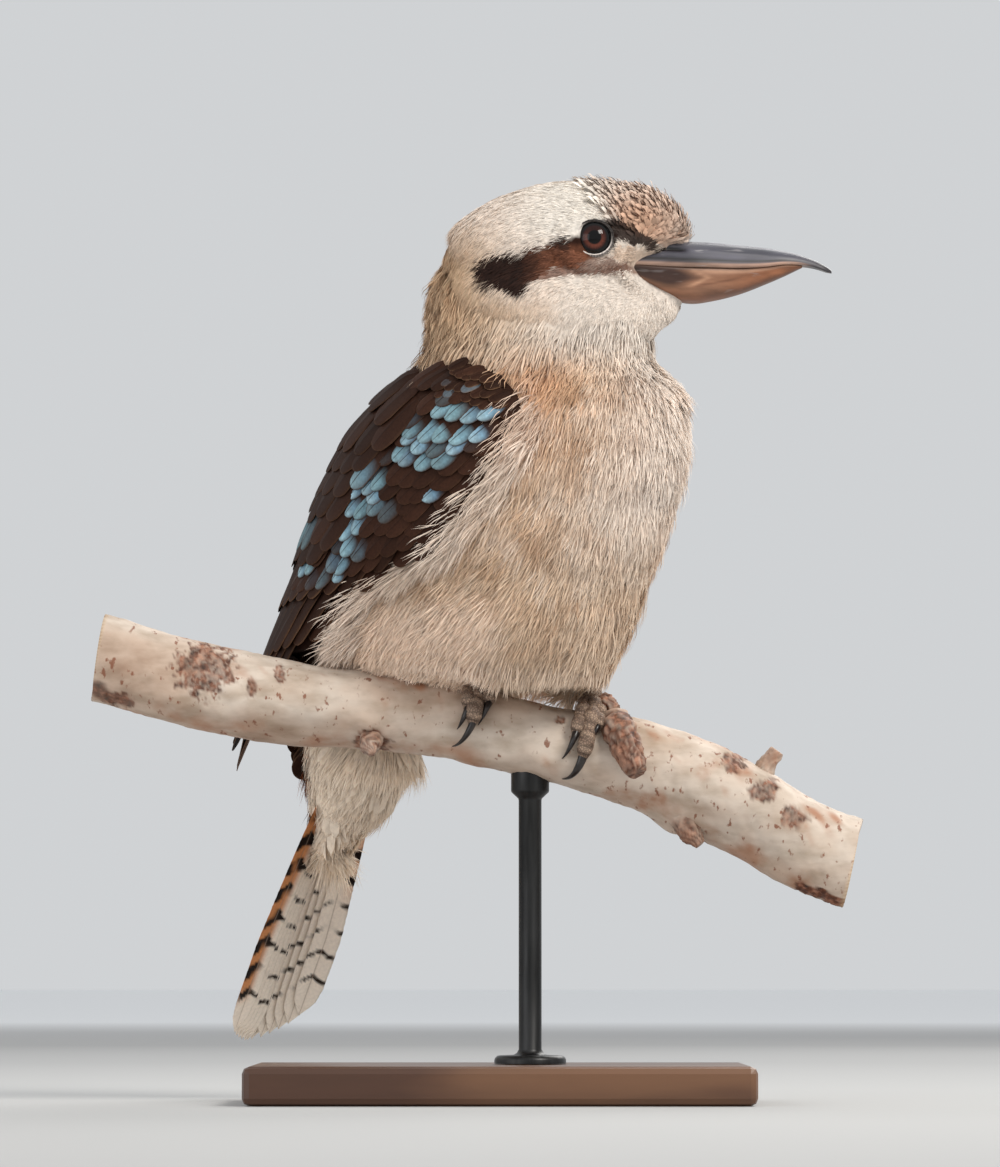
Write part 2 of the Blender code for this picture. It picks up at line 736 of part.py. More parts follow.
def make_lids():
    """A round lid rim for each eye, where the skin meets the eyeball."""
    lids = []
    for sign in (-1, 1):
        x, out, height = EYE_PLACE
        depth = math.sqrt(EYE_RADIUS**2 - LID_RING**2) + LID_RADIUS * 0.8
        bpy.ops.mesh.primitive_torus_add(
            location=(x, HEAD_MIDLINE + sign * (out + depth), height),
            rotation=(math.pi / 2, 0, 0),
            major_segments=14,
            minor_segments=5,
            major_radius=LID_RING,
            minor_radius=LID_RADIUS,
        )
        lid = bpy.context.object
        lid.data.transform(lid.matrix_basis)
        lid.matrix_basis = Matrix.Identity(4)
        lids.append(lid)
    return lids


def wing_spot(side, height, angle):
    """A point on the surface that a folded wing lies on, with its outward direction."""
    turn = angle if side == "right" else -angle
    place = body_point(WING, height, turn)
    round_body = body_point(WING, height, turn + 0.5) - body_point(WING, height, turn - 0.5)
    along_body = body_point(WING, height + 0.0005, turn) - body_point(WING, height - 0.0005, turn)
    outward = np.cross(round_body, along_body)
    outward /= np.linalg.norm(outward)
    return place, outward


LEADING_EDGE = Profile(WING_LEADING_EDGE)
BACK_EDGE = Profile(WING_BACK_EDGE)


def core_rise(height, angle):
    """How far the wing's body stands off the surface that it lies on, thin at its edges."""
    near, far = LEADING_EDGE.at(height)[0], BACK_EDGE.at(height)[0]
    share = min(max((angle - near) / (far - near), 0.0), 1.0)
    return WING_CORE_EDGE + WING_CORE * (1 - abs(2 * share - 1) ** 4)


def make_wing_core(side, foot, top):
    """The folded wing's body: a curved plate over the torso."""
    heights = np.linspace(foot, top, 9)
    columns = 6
    outer, inner = [], []
    for i, height in enumerate(heights):
        near, far = LEADING_EDGE.at(height)[0], BACK_EDGE.at(height)[0]
        end = min(1.0, (len(heights) - 1 - i) / 2 + 0.35, i / 3 + 0.5)
        for j in range(columns):
            angle = near + (far - near) * j / (columns - 1)
            place, outward = wing_spot(side, height, angle)
            inner.append(place + outward * 2 * GAP)
            outer.append(place + outward * core_rise(height, angle) * end)
    return solid("wing_" + side, *slab(outer, inner, len(heights), columns))


def slab(outer, inner, rows, columns):
    """Points and faces of a closed plate between two grids, split alike on both faces."""
    faces = []
    back = len(outer)

    def patch(a, b, c, d):
        faces.append((a, b, c))
        faces.append((a, c, d))

    for i in range(rows - 1):
        for j in range(columns - 1):
            a = i * columns + j
            patch(a, a + 1, a + columns + 1, a + columns)
            faces.append((back + a, back + a + columns + 1, back + a + 1))
            faces.append((back + a, back + a + columns, back + a + columns + 1))
    for i in range(rows - 1):
        a, b = i * columns, (i + 1) * columns
        patch(a, b, back + b, back + a)
        a, b = a + columns - 1, b + columns - 1
        patch(b, a, back + a, back + b)
    for j in range(columns - 1):
        patch(j + 1, j, back + j, back + j + 1)
        a = (rows - 1) * columns + j
        patch(a, a + 1, back + a + 1, back + a)
    return outer + inner, faces


def wing_lie(side, height, angle, length, steps):
    """Walks down the folded wing from a root towards the wing tip, in even steps."""
    shoulder = wing_spot(side, *WING_SHOULDER)[0]
    tip = wing_spot(side, *WING_TIP)[0]
    target = tip + (tip - shoulder) / np.linalg.norm(tip - shoulder) * WING_BEYOND
    stride = length / steps
    walk = []
    for _ in range(steps + 1):
        place, outward = wing_spot(side, height, angle)
        ahead = target - place
        ahead -= outward * ahead.dot(outward)
        ahead /= np.linalg.norm(ahead)
        walk.append((place, outward, ahead, core_rise(height, angle)))
        climb = (wing_spot(side, height + 0.0005, angle)[0] - place) / 0.0005
        turn = wing_spot(side, height, angle + 0.5)[0] - wing_spot(side, height, angle - 0.5)[0]
        moves = np.linalg.lstsq(np.stack([climb, turn], axis=1), ahead * stride, rcond=None)[0]
        height, angle = height + moves[0], angle + moves[1]
    return walk


def wing_vane(side, height, angle, length, breadth, lift):
    """One feather of the folded wing: its root sunk in the wing's body, its tip standing proud."""
    walk = wing_lie(side, height, angle, length, VANE_STEPS)
    outer, inner = [], []
    for share, width in VANE_PROFILE:
        place, outward, ahead, rise = walk[round(share * VANE_STEPS)]
        across = np.cross(outward, ahead) * (1 if side == "right" else -1)
        for edge in (-1, 0, 1):
            reach = edge * width * breadth / 2
            level = rise - VANE_SINK + VANE_RISE * share + lift
            level += VANE_TILT * reach + VANE_CROWN * (1 - edge**2) - reach**2 / (2 * BODY_BEND)
            outer.append(place + across * reach + outward * level)
            inner.append(outer[-1] - outward * VANE_THICKNESS)
    return solid("vane", *slab(outer, inner, len(VANE_PROFILE), 3))


def make_wing_vanes(side):
    """All the vanes of one wing, row by row, each a little different from the next."""
    draw = random.Random(WING_SEEDS[side])
    vanes = []
    for (low, near), (high, far), count, first, last, breadth in WING_VANES:
        for i in range(count):
            share = i / (count - 1)
            length = (first + (last - first) * share) * draw.uniform(0.96, 1.04)
            height = low + (high - low) * share
            angle = near + (far - near) * share
            lift = draw.uniform(-0.0001, 0.0001)
            wide = breadth * draw.uniform(0.96, 1.04)
            vanes.append(wing_vane(side, height, angle, length, wide, lift))
    return vanes


def tail_frame():
    """The tail's root, its direction, the direction to the bird's left and the upper side's."""
    tip = np.array(TAIL_TIP)
    ahead = tip - np.array(TAIL_ROOT)
    ahead /= np.linalg.norm(ahead)
    turn = math.radians(TAIL_TURN)
    leftward = np.array([math.sin(turn), math.cos(turn), 0.0])
    leftward -= ahead * leftward.dot(ahead)
    leftward /= np.linalg.norm(leftward)
    upper = np.cross(leftward, ahead)
    return tip - ahead * TAIL_LENGTH, ahead, leftward, upper


def tail_vane(index, side_sign, level):
    """One long tail feather, flat across and gently bowed with the others."""
    root, ahead, leftward, upper = tail_frame()
    shortening = TAIL_STEPS[index] * (1.0 if side_sign > 0 else TAIL_RIGHT_SHARE)
    length = TAIL_LENGTH - shortening
    outer, inner = [], []
    for share, width in RECTRIX_PROFILE:
        along = RECTRIX_START + (length - RECTRIX_START) * share
        spread = RECTRIX_SPACING * (index + 0.5) * (0.45 + 0.55 * min(along / RECTRIX_FAN, 1.0))
        for edge in (-1, 0, 1):
            across = side_sign * spread + edge * width * RECTRIX_BREADTH / 2
            lift = level + 0.0004 * (1 - edge**2) - across**2 / (2 * TAIL_BEND)
            outer.append(root + ahead * along + leftward * across + upper * lift)
            inner.append(outer[-1] - upper * RECTRIX_THICKNESS)
    return solid("rectrix", *slab(outer, inner, len(RECTRIX_PROFILE), 3))


def make_tail(coverts):
    """Twelve tail feathers in tiers, the middle pair on top, rooted in the coverts' cone."""
    vanes = []
    for index in range(RECTRIX_PAIRS):
        for side_sign in (1, -1):
            layer = index + (index > 0) + (side_sign < 0)
            vanes.append(tail_vane(index, side_sign, TAIL_LIFT - layer * LAYER_STEP))
    return fuse(coverts, vanes, "MANIFOLD")


def build():
    for thing in list(bpy.data.objects):
        bpy.data.objects.remove(thing)

    perch = make_perch()
    base, rod = make_stand(perch)

    feet, claws, legs, hollows = [], [], [], []
    for side, (x, toes) in FEET.items():
        foot, foot_claws, shank_top, hollow = make_foot(side, x, toes)
        feet.append(foot)
        claws.append(foot_claws)
        legs.append(make_leg(side, shank_top))
        hollows.append(hollow)

    torso = body_loft("torso", TORSO, TAIL_TOP + GAP / 2, NECK_FOOT - GAP / 2, TORSO_RINGS)
    plain_torso = grown(torso, 0)
    cut(torso, [grown(perch), *hollows, *[grown(thing) for thing in [*feet, *legs]]], "MANIFOLD")
    for foot, leg in zip(feet, legs):
        cut(leg, [grown(foot)], "MANIFOLD")

    coverts = body_loft("tail", COVERTS, COVERT_ROWS[0][0], TAIL_TOP - GAP / 2, COVERT_RINGS)
    tail = make_tail(coverts)
    cut(tail, [grown(perch)], "MANIFOLD")

    wings = []
    for side in ("right", "left"):
        wing = make_wing_core(side, WING_CORE_FOOT, WING_TOP)
        fuse(wing, make_wing_vanes(side), "MANIFOLD")
        cut(wing, [grown(plain_torso), grown(tail), grown(perch)], "MANIFOLD")
        wings.append(wing)
    bpy.data.objects.remove(plain_torso)

    eyes = make_eyes()
    upper_bill = make_bill("bill_upper", UPPER_BILL, 1)
    lower_bill = make_bill("bill_lower", LOWER_BILL, -1)
    head = make_head()
    neck = body_loft("neck", NECK, NECK_FOOT + GAP / 2, NECK_ROWS[-1][0], NECK_RINGS)
    cut(neck, [grown(head)])
    fuse(head, make_lids())
    cut(head, [grown(thing) for thing in [*eyes, upper_bill, lower_bill]])
    cut(head, nostril_cutters())

    for foot, foot_claws in zip(feet, claws):
        cut(foot, [grown(perch)], "MANIFOLD")
        for claw in foot_claws:
            cut(claw, [grown(foot), grown(perch)], "MANIFOLD")

    rounded = [perch, rod, torso, tail, head, neck, upper_bill, lower_bill]
    for thing in [*rounded, *eyes, *feet, *sum(claws, []), *legs, *wings]:
        finish(thing)
    finish(base, smooth=False)


build()
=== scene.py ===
import math

import bpy
import numpy as np
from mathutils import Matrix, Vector


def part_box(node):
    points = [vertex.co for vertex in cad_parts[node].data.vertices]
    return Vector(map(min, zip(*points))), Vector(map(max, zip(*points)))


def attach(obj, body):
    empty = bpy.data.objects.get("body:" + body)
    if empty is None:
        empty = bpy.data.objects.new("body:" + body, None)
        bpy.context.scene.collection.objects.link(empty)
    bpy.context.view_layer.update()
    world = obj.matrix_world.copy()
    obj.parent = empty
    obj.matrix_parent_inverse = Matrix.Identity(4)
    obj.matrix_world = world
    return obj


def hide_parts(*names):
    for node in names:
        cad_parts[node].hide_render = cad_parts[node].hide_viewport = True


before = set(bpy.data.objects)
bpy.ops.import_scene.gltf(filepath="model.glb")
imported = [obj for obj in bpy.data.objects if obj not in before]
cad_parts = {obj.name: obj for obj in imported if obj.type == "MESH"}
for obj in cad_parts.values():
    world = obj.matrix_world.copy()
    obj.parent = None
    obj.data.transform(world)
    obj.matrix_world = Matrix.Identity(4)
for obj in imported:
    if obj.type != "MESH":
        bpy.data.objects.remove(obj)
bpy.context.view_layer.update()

# Camera and picture
CAMERA_PLACE = (0.0, -2.39415, 0.04988)
CAMERA_TILT = math.radians(94)
CAMERA_LENS = 176.27
PHOTO_SIZE = (1000, 1167)
PIXEL = 0.00042
PHOTO_DISTANCE = 2.4
PHOTO_RISE = math.radians(4)

# Sizes shared with the solids
GAP = 0.0003
HEAD_MIDLINE = -0.018
EYE_PLACE = (0.0390, 0.0215, 0.3575)
EYE_RADIUS = 0.009

# The body in level slices, upwards: height, left edge, right edge, depth of the centre,
# half breadth across the bird, and how far it is turned towards the viewer in degrees
BODY_ROWS = [
    (0.1040, -0.0735, -0.0665, 0.066, 0.0080, 52),
    (0.1090, -0.0795, -0.0600, 0.064, 0.0110, 52),
    (0.1190, -0.0820, -0.0505, 0.060, 0.0145, 52),
    (0.1265, -0.0835, -0.0430, 0.057, 0.0180, 52),
    (0.1350, -0.0845, -0.0385, 0.054, 0.0215, 52),
    (0.1470, -0.0850, -0.0325, 0.050, 0.0250, 52),
    (0.1640, -0.083, -0.025, 0.045, 0.0270, 51),
    (0.1690, -0.0835, -0.010, 0.040, 0.0290, 47),
    (0.1717, -0.084, 0.012, 0.034, 0.0310, 43),
    (0.1740, -0.084, 0.031, 0.027, 0.0350, 41),
    (0.1770, -0.084, 0.043, 0.021, 0.0400, 40),
    (0.1820, -0.084, 0.0495, 0.016, 0.0450, 40),
    (0.1900, -0.0845, 0.054, 0.012, 0.0490, 40),
    (0.2020, -0.083, 0.0595, 0.008, 0.0515, 39),
    (0.2190, -0.0805, 0.0655, 0.004, 0.0530, 38),
    (0.2355, -0.077, 0.0715, -0.001, 0.0540, 37),
    (0.2520, -0.071, 0.076, -0.005, 0.0540, 35),
    (0.2640, -0.0655, 0.079, -0.008, 0.0535, 34),
    (0.2755, -0.0595, 0.080, -0.010, 0.0525, 32),
    (0.2850, -0.0525, 0.079, -0.012, 0.0505, 30),
    (0.2935, -0.045, 0.0775, -0.0135, 0.0475, 27),
    (0.2995, -0.040, 0.0755, -0.014, 0.0445, 24),
    (0.3050, -0.0355, 0.0715, -0.0145, 0.0415, 20),
    (0.3110, -0.0335, 0.0675, -0.015, 0.0395, 17),
    (0.3165, -0.0325, 0.0665, -0.016, 0.0380, 14),
    (0.3225, -0.0315, 0.0690, -0.017, 0.0355, 10),
    (0.3300, -0.0290, 0.0600, -0.018, 0.0300, 6),
    (0.3420, -0.0200, 0.0450, -0.018, 0.0220, 0),
]
WING_ROWS = [
    (0.1340, -0.1135, -0.0600, 0.062, 0.0200, 52),
    (0.1500, -0.1085, -0.0440, 0.052, 0.0270, 52),
    (0.1620, -0.1040, -0.0240, 0.042, 0.0320, 50),
    (0.1740, -0.0990, 0.0000, 0.031, 0.0380, 48),
    (0.1940, -0.0915, 0.0410, 0.015, 0.0480, 43),
    (0.2080, -0.0860, 0.0580, 0.007, 0.0520, 40),
    (0.2190, -0.0820, 0.0650, 0.004, 0.0530, 38),
] + [row for row in BODY_ROWS if 0.235 < row[0] < 0.306]
HEAD_ROWS = [
    (-0.0228, 0.3575, 0.3535, 0.0040),
    (-0.0188, 0.3669, 0.3412, 0.0170),
    (-0.0126, 0.3724, 0.3328, 0.0240),
    (-0.0042, 0.3775, 0.3273, 0.0285),
    (0.0084, 0.3825, 0.3240, 0.0310),
    (0.0230, 0.3857, 0.3223, 0.0310),
    (0.0377, 0.3863, 0.3223, 0.0280),
    (0.0502, 0.3849, 0.3240, 0.0240),
    (0.0607, 0.3821, 0.3265, 0.0200),
    (0.0691, 0.3779, 0.3299, 0.0170),
    (0.0753, 0.3720, 0.3324, 0.0140),
    (0.0787, 0.3652, 0.3341, 0.0110),
    (0.0800, 0.3600, 0.3370, 0.0080),
]
# The neck's top slices as the coat fills them, from nape to chin
NAPE_ROWS = [
    (0.3300, -0.0312, 0.0700, -0.018, 0.0345, 4),
    (0.3385, -0.0300, 0.0600, -0.018, 0.0328, 0),
    (0.3466, -0.0278, 0.0400, -0.018, 0.0290, 0),
    (0.3540, -0.0252, 0.0300, -0.018, 0.0225, 0),
    (0.3610, -0.0222, 0.0200, -0.018, 0.0150, 0),
]
CHIN_ROWS = [
    (0.0440, 0.3450, 0.3180, 0.0200),
    (0.0560, 0.3430, 0.3188, 0.0185),
    (0.0650, 0.3400, 0.3205, 0.0155),
    (0.0705, 0.3370, 0.3245, 0.0125),
    (0.0750, 0.3350, 0.3290, 0.0080),
    (0.0785, 0.3345, 0.3325, 0.0030),
]
# Where the feathers of the face end against the bill: place, upper and lower height
FACE_EDGE = [
    (0.0540, 0.3480, 0.3460),
    (0.0590, 0.3503, 0.3405),
    (0.0650, 0.3525, 0.3375),
    (0.0700, 0.3572, 0.3355),
    (0.0750, 0.3582, 0.3335),
    (0.0800, 0.3592, 0.3325),
]
UPPER_BILL_ROWS = [
    (0.0490, 0.3535, 0.34825, 0.0150),
    (0.0586, 0.3585, 0.3480, 0.0148),
    (0.0691, 0.3600, 0.3475, 0.0142),
    (0.0795, 0.3591, 0.3473, 0.0136),
    (0.0900, 0.3585, 0.3473, 0.0122),
    (0.1005, 0.3574, 0.3474, 0.0106),
    (0.1109, 0.3564, 0.3482, 0.0088),
    (0.1193, 0.3551, 0.3494, 0.0070),
    (0.1268, 0.3532, 0.3494, 0.0050),
    (0.1327, 0.3509, 0.3482, 0.0032),
    (0.1369, 0.3486, 0.3467, 0.0017),
    (0.1387, 0.3472, 0.3463, 0.0007),
]
LOWER_BILL_ROWS = [
    (0.0490, 0.34795, 0.3450, 0.0150),
    (0.0586, 0.3477, 0.3404, 0.0148),
    (0.0691, 0.3472, 0.3358, 0.0142),
    (0.0795, 0.3470, 0.3334, 0.0130),
    (0.0900, 0.3470, 0.3347, 0.0114),
    (0.1005, 0.3471, 0.3374, 0.0094),
    (0.1109, 0.3479, 0.3414, 0.0070),
    (0.1193, 0.3491, 0.3450, 0.0046),
    (0.1247, 0.3491, 0.3476, 0.0024),
    (0.1264, 0.3491, 0.3484, 0.0010),
]
PERCH_ROWS = [
    (-0.168, 0.1860, 0.0189),
    (-0.126, 0.1738, 0.0178),
    (-0.084, 0.1666, 0.0174),
    (-0.042, 0.1637, 0.0166),
    (-0.021, 0.1608, 0.0164),
    (0.000, 0.1545, 0.0158),
    (0.021, 0.1494, 0.0160),
    (0.042, 0.1444, 0.0168),
    (0.063, 0.1394, 0.0181),
    (0.084, 0.1318, 0.0193),
    (0.105, 0.1214, 0.0193),
    (0.126, 0.1088, 0.0189),
    (0.147, 0.1000, 0.0185),
]
WING_LEADING_EDGE = [
    (0.1340, -147),
    (0.1540, -138),
    (0.1740, -126),
    (0.1860, -116),
    (0.1940, -113),
    (0.2055, -113),
    (0.2135, -110),
    (0.2210, -99),
    (0.2280, -86),
    (0.2400, -78),
    (0.2595, -73),
    (0.2755, -70),
    (0.2885, -74),
    (0.3030, -96),
]
WING_BACK_EDGE = [
    (0.1340, -149),
    (0.1540, -160),
    (0.1740, -168),
    (0.1940, -172),
    (0.2100, -174),
    (0.2520, -174),
    (0.2750, -170),
    (0.2930, -156),
    (0.3030, -130),
]
WING_CORE = 0.0040
WING_CORE_EDGE = 0.0022
WING_SHOULDER = (0.2980, -84)
WING_TIP = (0.1340, -148)
WING_BEYOND = 0.060

TAIL_LENGTH = 0.164
TAIL_ROOT = (-0.0540, 0.0470, 0.1706)
TAIL_TIP = (-0.1080, 0.1080, 0.0240)
TAIL_TURN = 50
TAIL_LIFT = 0.0030
TAIL_BEND = 0.070
TAIL_STEPS = [0.0, 0.0020, 0.0045, 0.0075, 0.0110, 0.0160]
RECTRIX_START = 0.022
RECTRIX_SPACING = 0.0030
RECTRIX_BREADTH = 0.0130
RECTRIX_FAN = 0.110
LAYER_STEP = 0.0009


# Curves, masks and colours
class Profile:
    """A smooth curve through the rows of a table, read by the rows' first value."""

    def __init__(self, rows):
        table = np.array(sorted(rows), dtype=float)
        self.keys = table[:, 0]
        self.values = table[:, 1:]
        steps = np.diff(self.keys)[:, None]
        slopes = np.diff(self.values, axis=0) / steps
        inner = (slopes[:-1] * steps[1:] + slopes[1:] * steps[:-1]) / (steps[1:] + steps[:-1])
        self.slopes = np.vstack([slopes[:1], inner, slopes[-1:]])

    def at(self, key):
        key = np.clip(np.asarray(key, dtype=float), self.keys[0], self.keys[-1])
        i = np.clip(np.searchsorted(self.keys, key, side="right") - 1, 0, len(self.keys) - 2)
        step = (self.keys[i + 1] - self.keys[i])[..., None]
        t = (key - self.keys[i])[..., None] / step
        fall = (1 - t) ** 2
        near = (1 + 2 * t) * fall * self.values[i] + t * fall * step * self.slopes[i]
        far = t * t * (3 - 2 * t) * self.values[i + 1] - t * t * (1 - t) * step * self.slopes[i + 1]
        return near + far


BODY = Profile(BODY_ROWS)
WING = Profile(WING_ROWS)
HEAD = Profile(HEAD_ROWS)
FACE = Profile(FACE_EDGE)
PERCH = Profile(PERCH_ROWS)
LEADING_EDGE = Profile(WING_LEADING_EDGE)
BACK_EDGE = Profile(WING_BACK_EDGE)


def unit(v):
    return v / np.maximum(np.linalg.norm(v, axis=-1, keepdims=True), 1e-12)


def ease(low, high, value):
    """0 below low, 1 above high, smooth between; low may be above high."""
    t = np.clip((np.asarray(value, dtype=float) - low) / (high - low), 0.0, 1.0)
    return t * t * (3 - 2 * t)


def colour(red, green, blue):
    """A colour given in screen values, as the linear values that shaders take."""
    screen = np.array([red, green, blue], dtype=float)
    return np.where(screen <= 0.04045, screen / 12.92, ((screen + 0.055) / 1.055) ** 2.4)


def circle(count):
    """Even angles once round."""
    return np.linspace(0, 2 * math.pi, count, endpoint=False)


def blend(base, over, share):
    share = np.asarray(share)[..., None]
    return base * (1 - share) + over * share


def painted(shade, layers):
    """Lays colours over a shade, one after another, each by its share."""
    for over, share in layers:
        shade = blend(shade, over, share)
    return shade


def pixel_of(points, depth=None):
    """The photo's pixel of each point; with a depth, as if all stood at that depth."""
    y = points[:, 1] if depth is None else np.full(len(points), depth)
    ahead = np.array([0.0, math.cos(PHOTO_RISE), math.sin(PHOTO_RISE)])
    up = np.array([0.0, -math.sin(PHOTO_RISE), math.cos(PHOTO_RISE)])
    v = np.stack([points[:, 0], y, points[:, 2]], axis=1) - np.array(CAMERA_PLACE)
    scale = PHOTO_DISTANCE / PIXEL / (v @ ahead)
    return PHOTO_SIZE[0] / 2 + v[:, 0] * scale, PHOTO_SIZE[1] / 2 - (v @ up) * scale


def near_path(u, v, path):
    """How deep each pixel lies in a stroke of points and radii: 1 on its line, 0 at its edge."""
    best = np.full(len(u), -9.0)
    for (ax, ay, ar), (bx, by, br) in zip(path[:-1], path[1:]):
        length = (bx - ax) ** 2 + (by - ay) ** 2
        t = np.clip(((u - ax) * (bx - ax) + (v - ay) * (by - ay)) / length, 0, 1)
        gap = np.hypot(u - ax - t * (bx - ax), v - ay - t * (by - ay))
        best = np.maximum(best, 1 - gap / (ar + (br - ar) * t))
    return best


def waves(points, size, seed):
    """Smooth noise from a few sine waves of random directions, about -1 to 1."""
    draw = np.random.default_rng(seed)
    total = np.zeros(len(points))
    for _ in range(9):
        direction = unit(draw.normal(size=3)) * draw.uniform(0.6, 1.6) * 2 * math.pi / size
        total += np.sin(points @ direction + draw.uniform(0, 2 * math.pi))
    return total / 3.2


# The forms of the body
def body_frame(profile, height):
    """Centre, forward and left directions and half sizes of level slices through the body."""
    left_edge, right_edge, depth, half_breadth, turn = np.moveaxis(profile.at(height), -1, 0)
    turn = np.radians(turn)
    half_seen = (right_edge - left_edge) / 2
    across = half_breadth * np.sin(turn)
    squared = np.maximum(half_seen**2 - across**2, (0.3 * half_seen) ** 2)
    half_length = np.sqrt(squared) / np.cos(turn)
    level = np.asarray(height, dtype=float) + 0 * turn
    centre = np.stack([(left_edge + right_edge) / 2, depth, level], axis=-1)
    forward = np.stack([np.cos(turn), -np.sin(turn), 0 * turn], axis=-1)
    leftward = np.stack([np.sin(turn), np.cos(turn), 0 * turn], axis=-1)
    return centre, forward, leftward, half_length, half_breadth


def body_point(profile, height, angle):
    """The point of a slice at an angle from the bird's front, positive to its left."""
    centre, forward, leftward, half_length, half_breadth = body_frame(profile, height)
    a = np.radians(angle)
    ahead = forward * (half_length * np.cos(a))[..., None]
    return centre + ahead + leftward * (half_breadth * np.sin(a))[..., None]


def body_angle(points):
    """Each point's angle round the body, from the bird's front, positive to its left."""
    centre, forward, leftward, half_length, half_breadth = body_frame(BODY, points[:, 2])
    out = points - centre
    ahead = np.sum(out * forward, axis=1) / half_length
    aside = np.sum(out * leftward, axis=1) / half_breadth
    return np.degrees(np.arctan2(aside, ahead))


def eye_gap(points):
    """How far each point lies from the eye's middle, seen from the side."""
    return np.hypot(points[:, 0] - EYE_PLACE[0], points[:, 2] - EYE_PLACE[2])


def head_ring(x, sides):
    """One ring of the head, drawn in where the bill shows."""
    crown, throat, half_breadth = HEAD.at(x)
    top, low = FACE.at(x)
    a = circle(sides)
    height = (crown + throat) / 2 + (crown - throat) / 2 * np.sin(a)
    spread = np.abs(np.cos(a)) ** 0.92 * np.sign(np.cos(a))
    forward = ease(0.048, 0.062, x)
    inside = ease(low - 0.0015, low + 0.0015, height) * ease(top + 0.0025, top - 0.0005, height)
    half = half_breadth * (1 - 0.42 * forward * inside)
    return np.stack([np.full(sides, x), HEAD_MIDLINE + half * spread, height], axis=1)


def new_mesh(name, points, faces, smooth=True):
    mesh = bpy.data.meshes.new(name)
    mesh.from_pydata([tuple(p) for p in points], [], [tuple(int(i) for i in f) for f in faces])
    if smooth:
        mesh.shade_smooth()
    thing = bpy.data.objects.new(name, mesh)
    bpy.context.scene.collection.objects.link(thing)
    return thing


def loft_faces(rings, sides, first=0):
    """Faces of a closed loft: its sides and two end fans, whose middles follow the rings."""
    faces = []
    for i in range(rings - 1):
        for j in range(sides):
            a = first + i * sides + j
            b = first + i * sides + (j + 1) % sides
            faces.append((a, b, b + sides, a + sides))
    last = first + (rings - 1) * sides
    middle = first + rings * sides
    for j in range(sides):
        faces.append((middle, first + (j + 1) % sides, first + j))
        faces.append((middle + 1, last + j, last + (j + 1) % sides))
    return faces


def plate_faces(rows, edges):
    """Triangles of a thin plate: its front grid, a like grid behind it, and the rim."""
    each = rows * edges
    faces = []
    for i in range(rows - 1):
        for j in range(edges - 1):
            a = i * edges + j
            b, c, d = a + 1, a + edges + 1, a + edges
            faces += [(a, b, c), (a, c, d)]
            faces += [(each + a, each + c, each + b), (each + a, each + d, each + c)]
    rim = [i * edges for i in range(rows)] + [each - edges + j for j in range(1, edges)]
    rim += [i * edges + edges - 1 for i in range(rows - 2, -1, -1)]
    rim += list(range(edges - 2, 0, -1))
    for a, b in zip(rim, rim[1:] + rim[:1]):
        faces += [(a, b, each + b), (a, each + b, each + a)]
    return np.array(faces)


def loft(rings):
    """Points and faces of a closed loft through rings of equal count."""
    rings = [np.asarray(ring, dtype=float) for ring in rings]
    points = np.concatenate([*rings, [rings[0].mean(axis=0)], [rings[-1].mean(axis=0)]])
    return points, loft_faces(len(rings), len(rings[0]))


def tube_rings(path, radii, sides, flat=1.0):
    """Rings of a tube along a path, each square to it."""
    path = np.asarray(path, dtype=float)
    guide = np.array([0.31, 0.22, 0.93])
    rings = []
    turns = circle(sides)[:, None]
    for i, place in enumerate(path):
        ahead = unit(path[min(i + 1, len(path) - 1)] - path[max(i - 1, 0)])
        side = unit(np.cross(guide, ahead))
        guide = np.cross(ahead, side)
        rings.append(place + radii[i] * (np.cos(turns) * flat * side + np.sin(turns) * guide))
    return rings


def merged(parts):
    """Several (points, faces) as one."""
    points, faces, count = [], [], 0
    for some, turns in parts:
        points.append(np.asarray(some))
        faces += [tuple(i + count for i in face) for face in turns]
        count += len(some)
    return np.concatenate(points), faces


def put_colours(mesh, name, values):
    """Stores a colour for each vertex."""
    layer = mesh.attributes.new(name, "FLOAT_COLOR", "POINT")
    filled = np.concatenate([np.asarray(values), np.ones((len(values), 1))], axis=1)
    layer.data.foreach_set("color", filled.astype(np.float32).ravel())


def put_map(mesh, places):
    """Stores the bake's map from a place for each vertex."""
    corners = np.empty(len(mesh.loops), dtype=np.int32)
    mesh.loops.foreach_get("vertex_index", corners)
    layer = mesh.uv_layers.new(name="OFBake")
    layer.uv.foreach_set("vector", places[corners].astype(np.float32).ravel())


def read_vectors(values, kind):
    """The vectors of a mesh's vertices or normals, as one array."""
    flat = np.empty(len(values) * 3, dtype=np.float32)
    values.foreach_get(kind, flat)
    return flat.reshape(-1, 3).astype(float)


def smoothed(thing, name, rounds, group=""):
    """Adds a smoothing to a piece, on one group of its vertices if asked."""
    smooth = thing.modifiers.new(name, "SMOOTH")
    smooth.iterations = rounds
    smooth.factor = 0.5
    smooth.vertex_group = group


def applied(thing):
    """Gives a piece the mesh that its modifiers make of it."""
    graph = bpy.context.evaluated_depsgraph_get()
    mesh = bpy.data.meshes.new_from_object(thing.evaluated_get(graph))
    thing.modifiers.clear()
    thing.data = mesh
    return mesh


# Materials: each function that makes a node gives back the socket that the next one takes
def new_material(name, roughness=0.7, specular=0.5):
    made = bpy.data.materials.new(name)
    made.use_nodes = True
    shader = made.node_tree.nodes["Principled BSDF"]
    shader.inputs["Roughness"].default_value = roughness
    shader.inputs["Specular IOR Level"].default_value = specular
    return made, made.node_tree.nodes, made.node_tree.links, shader


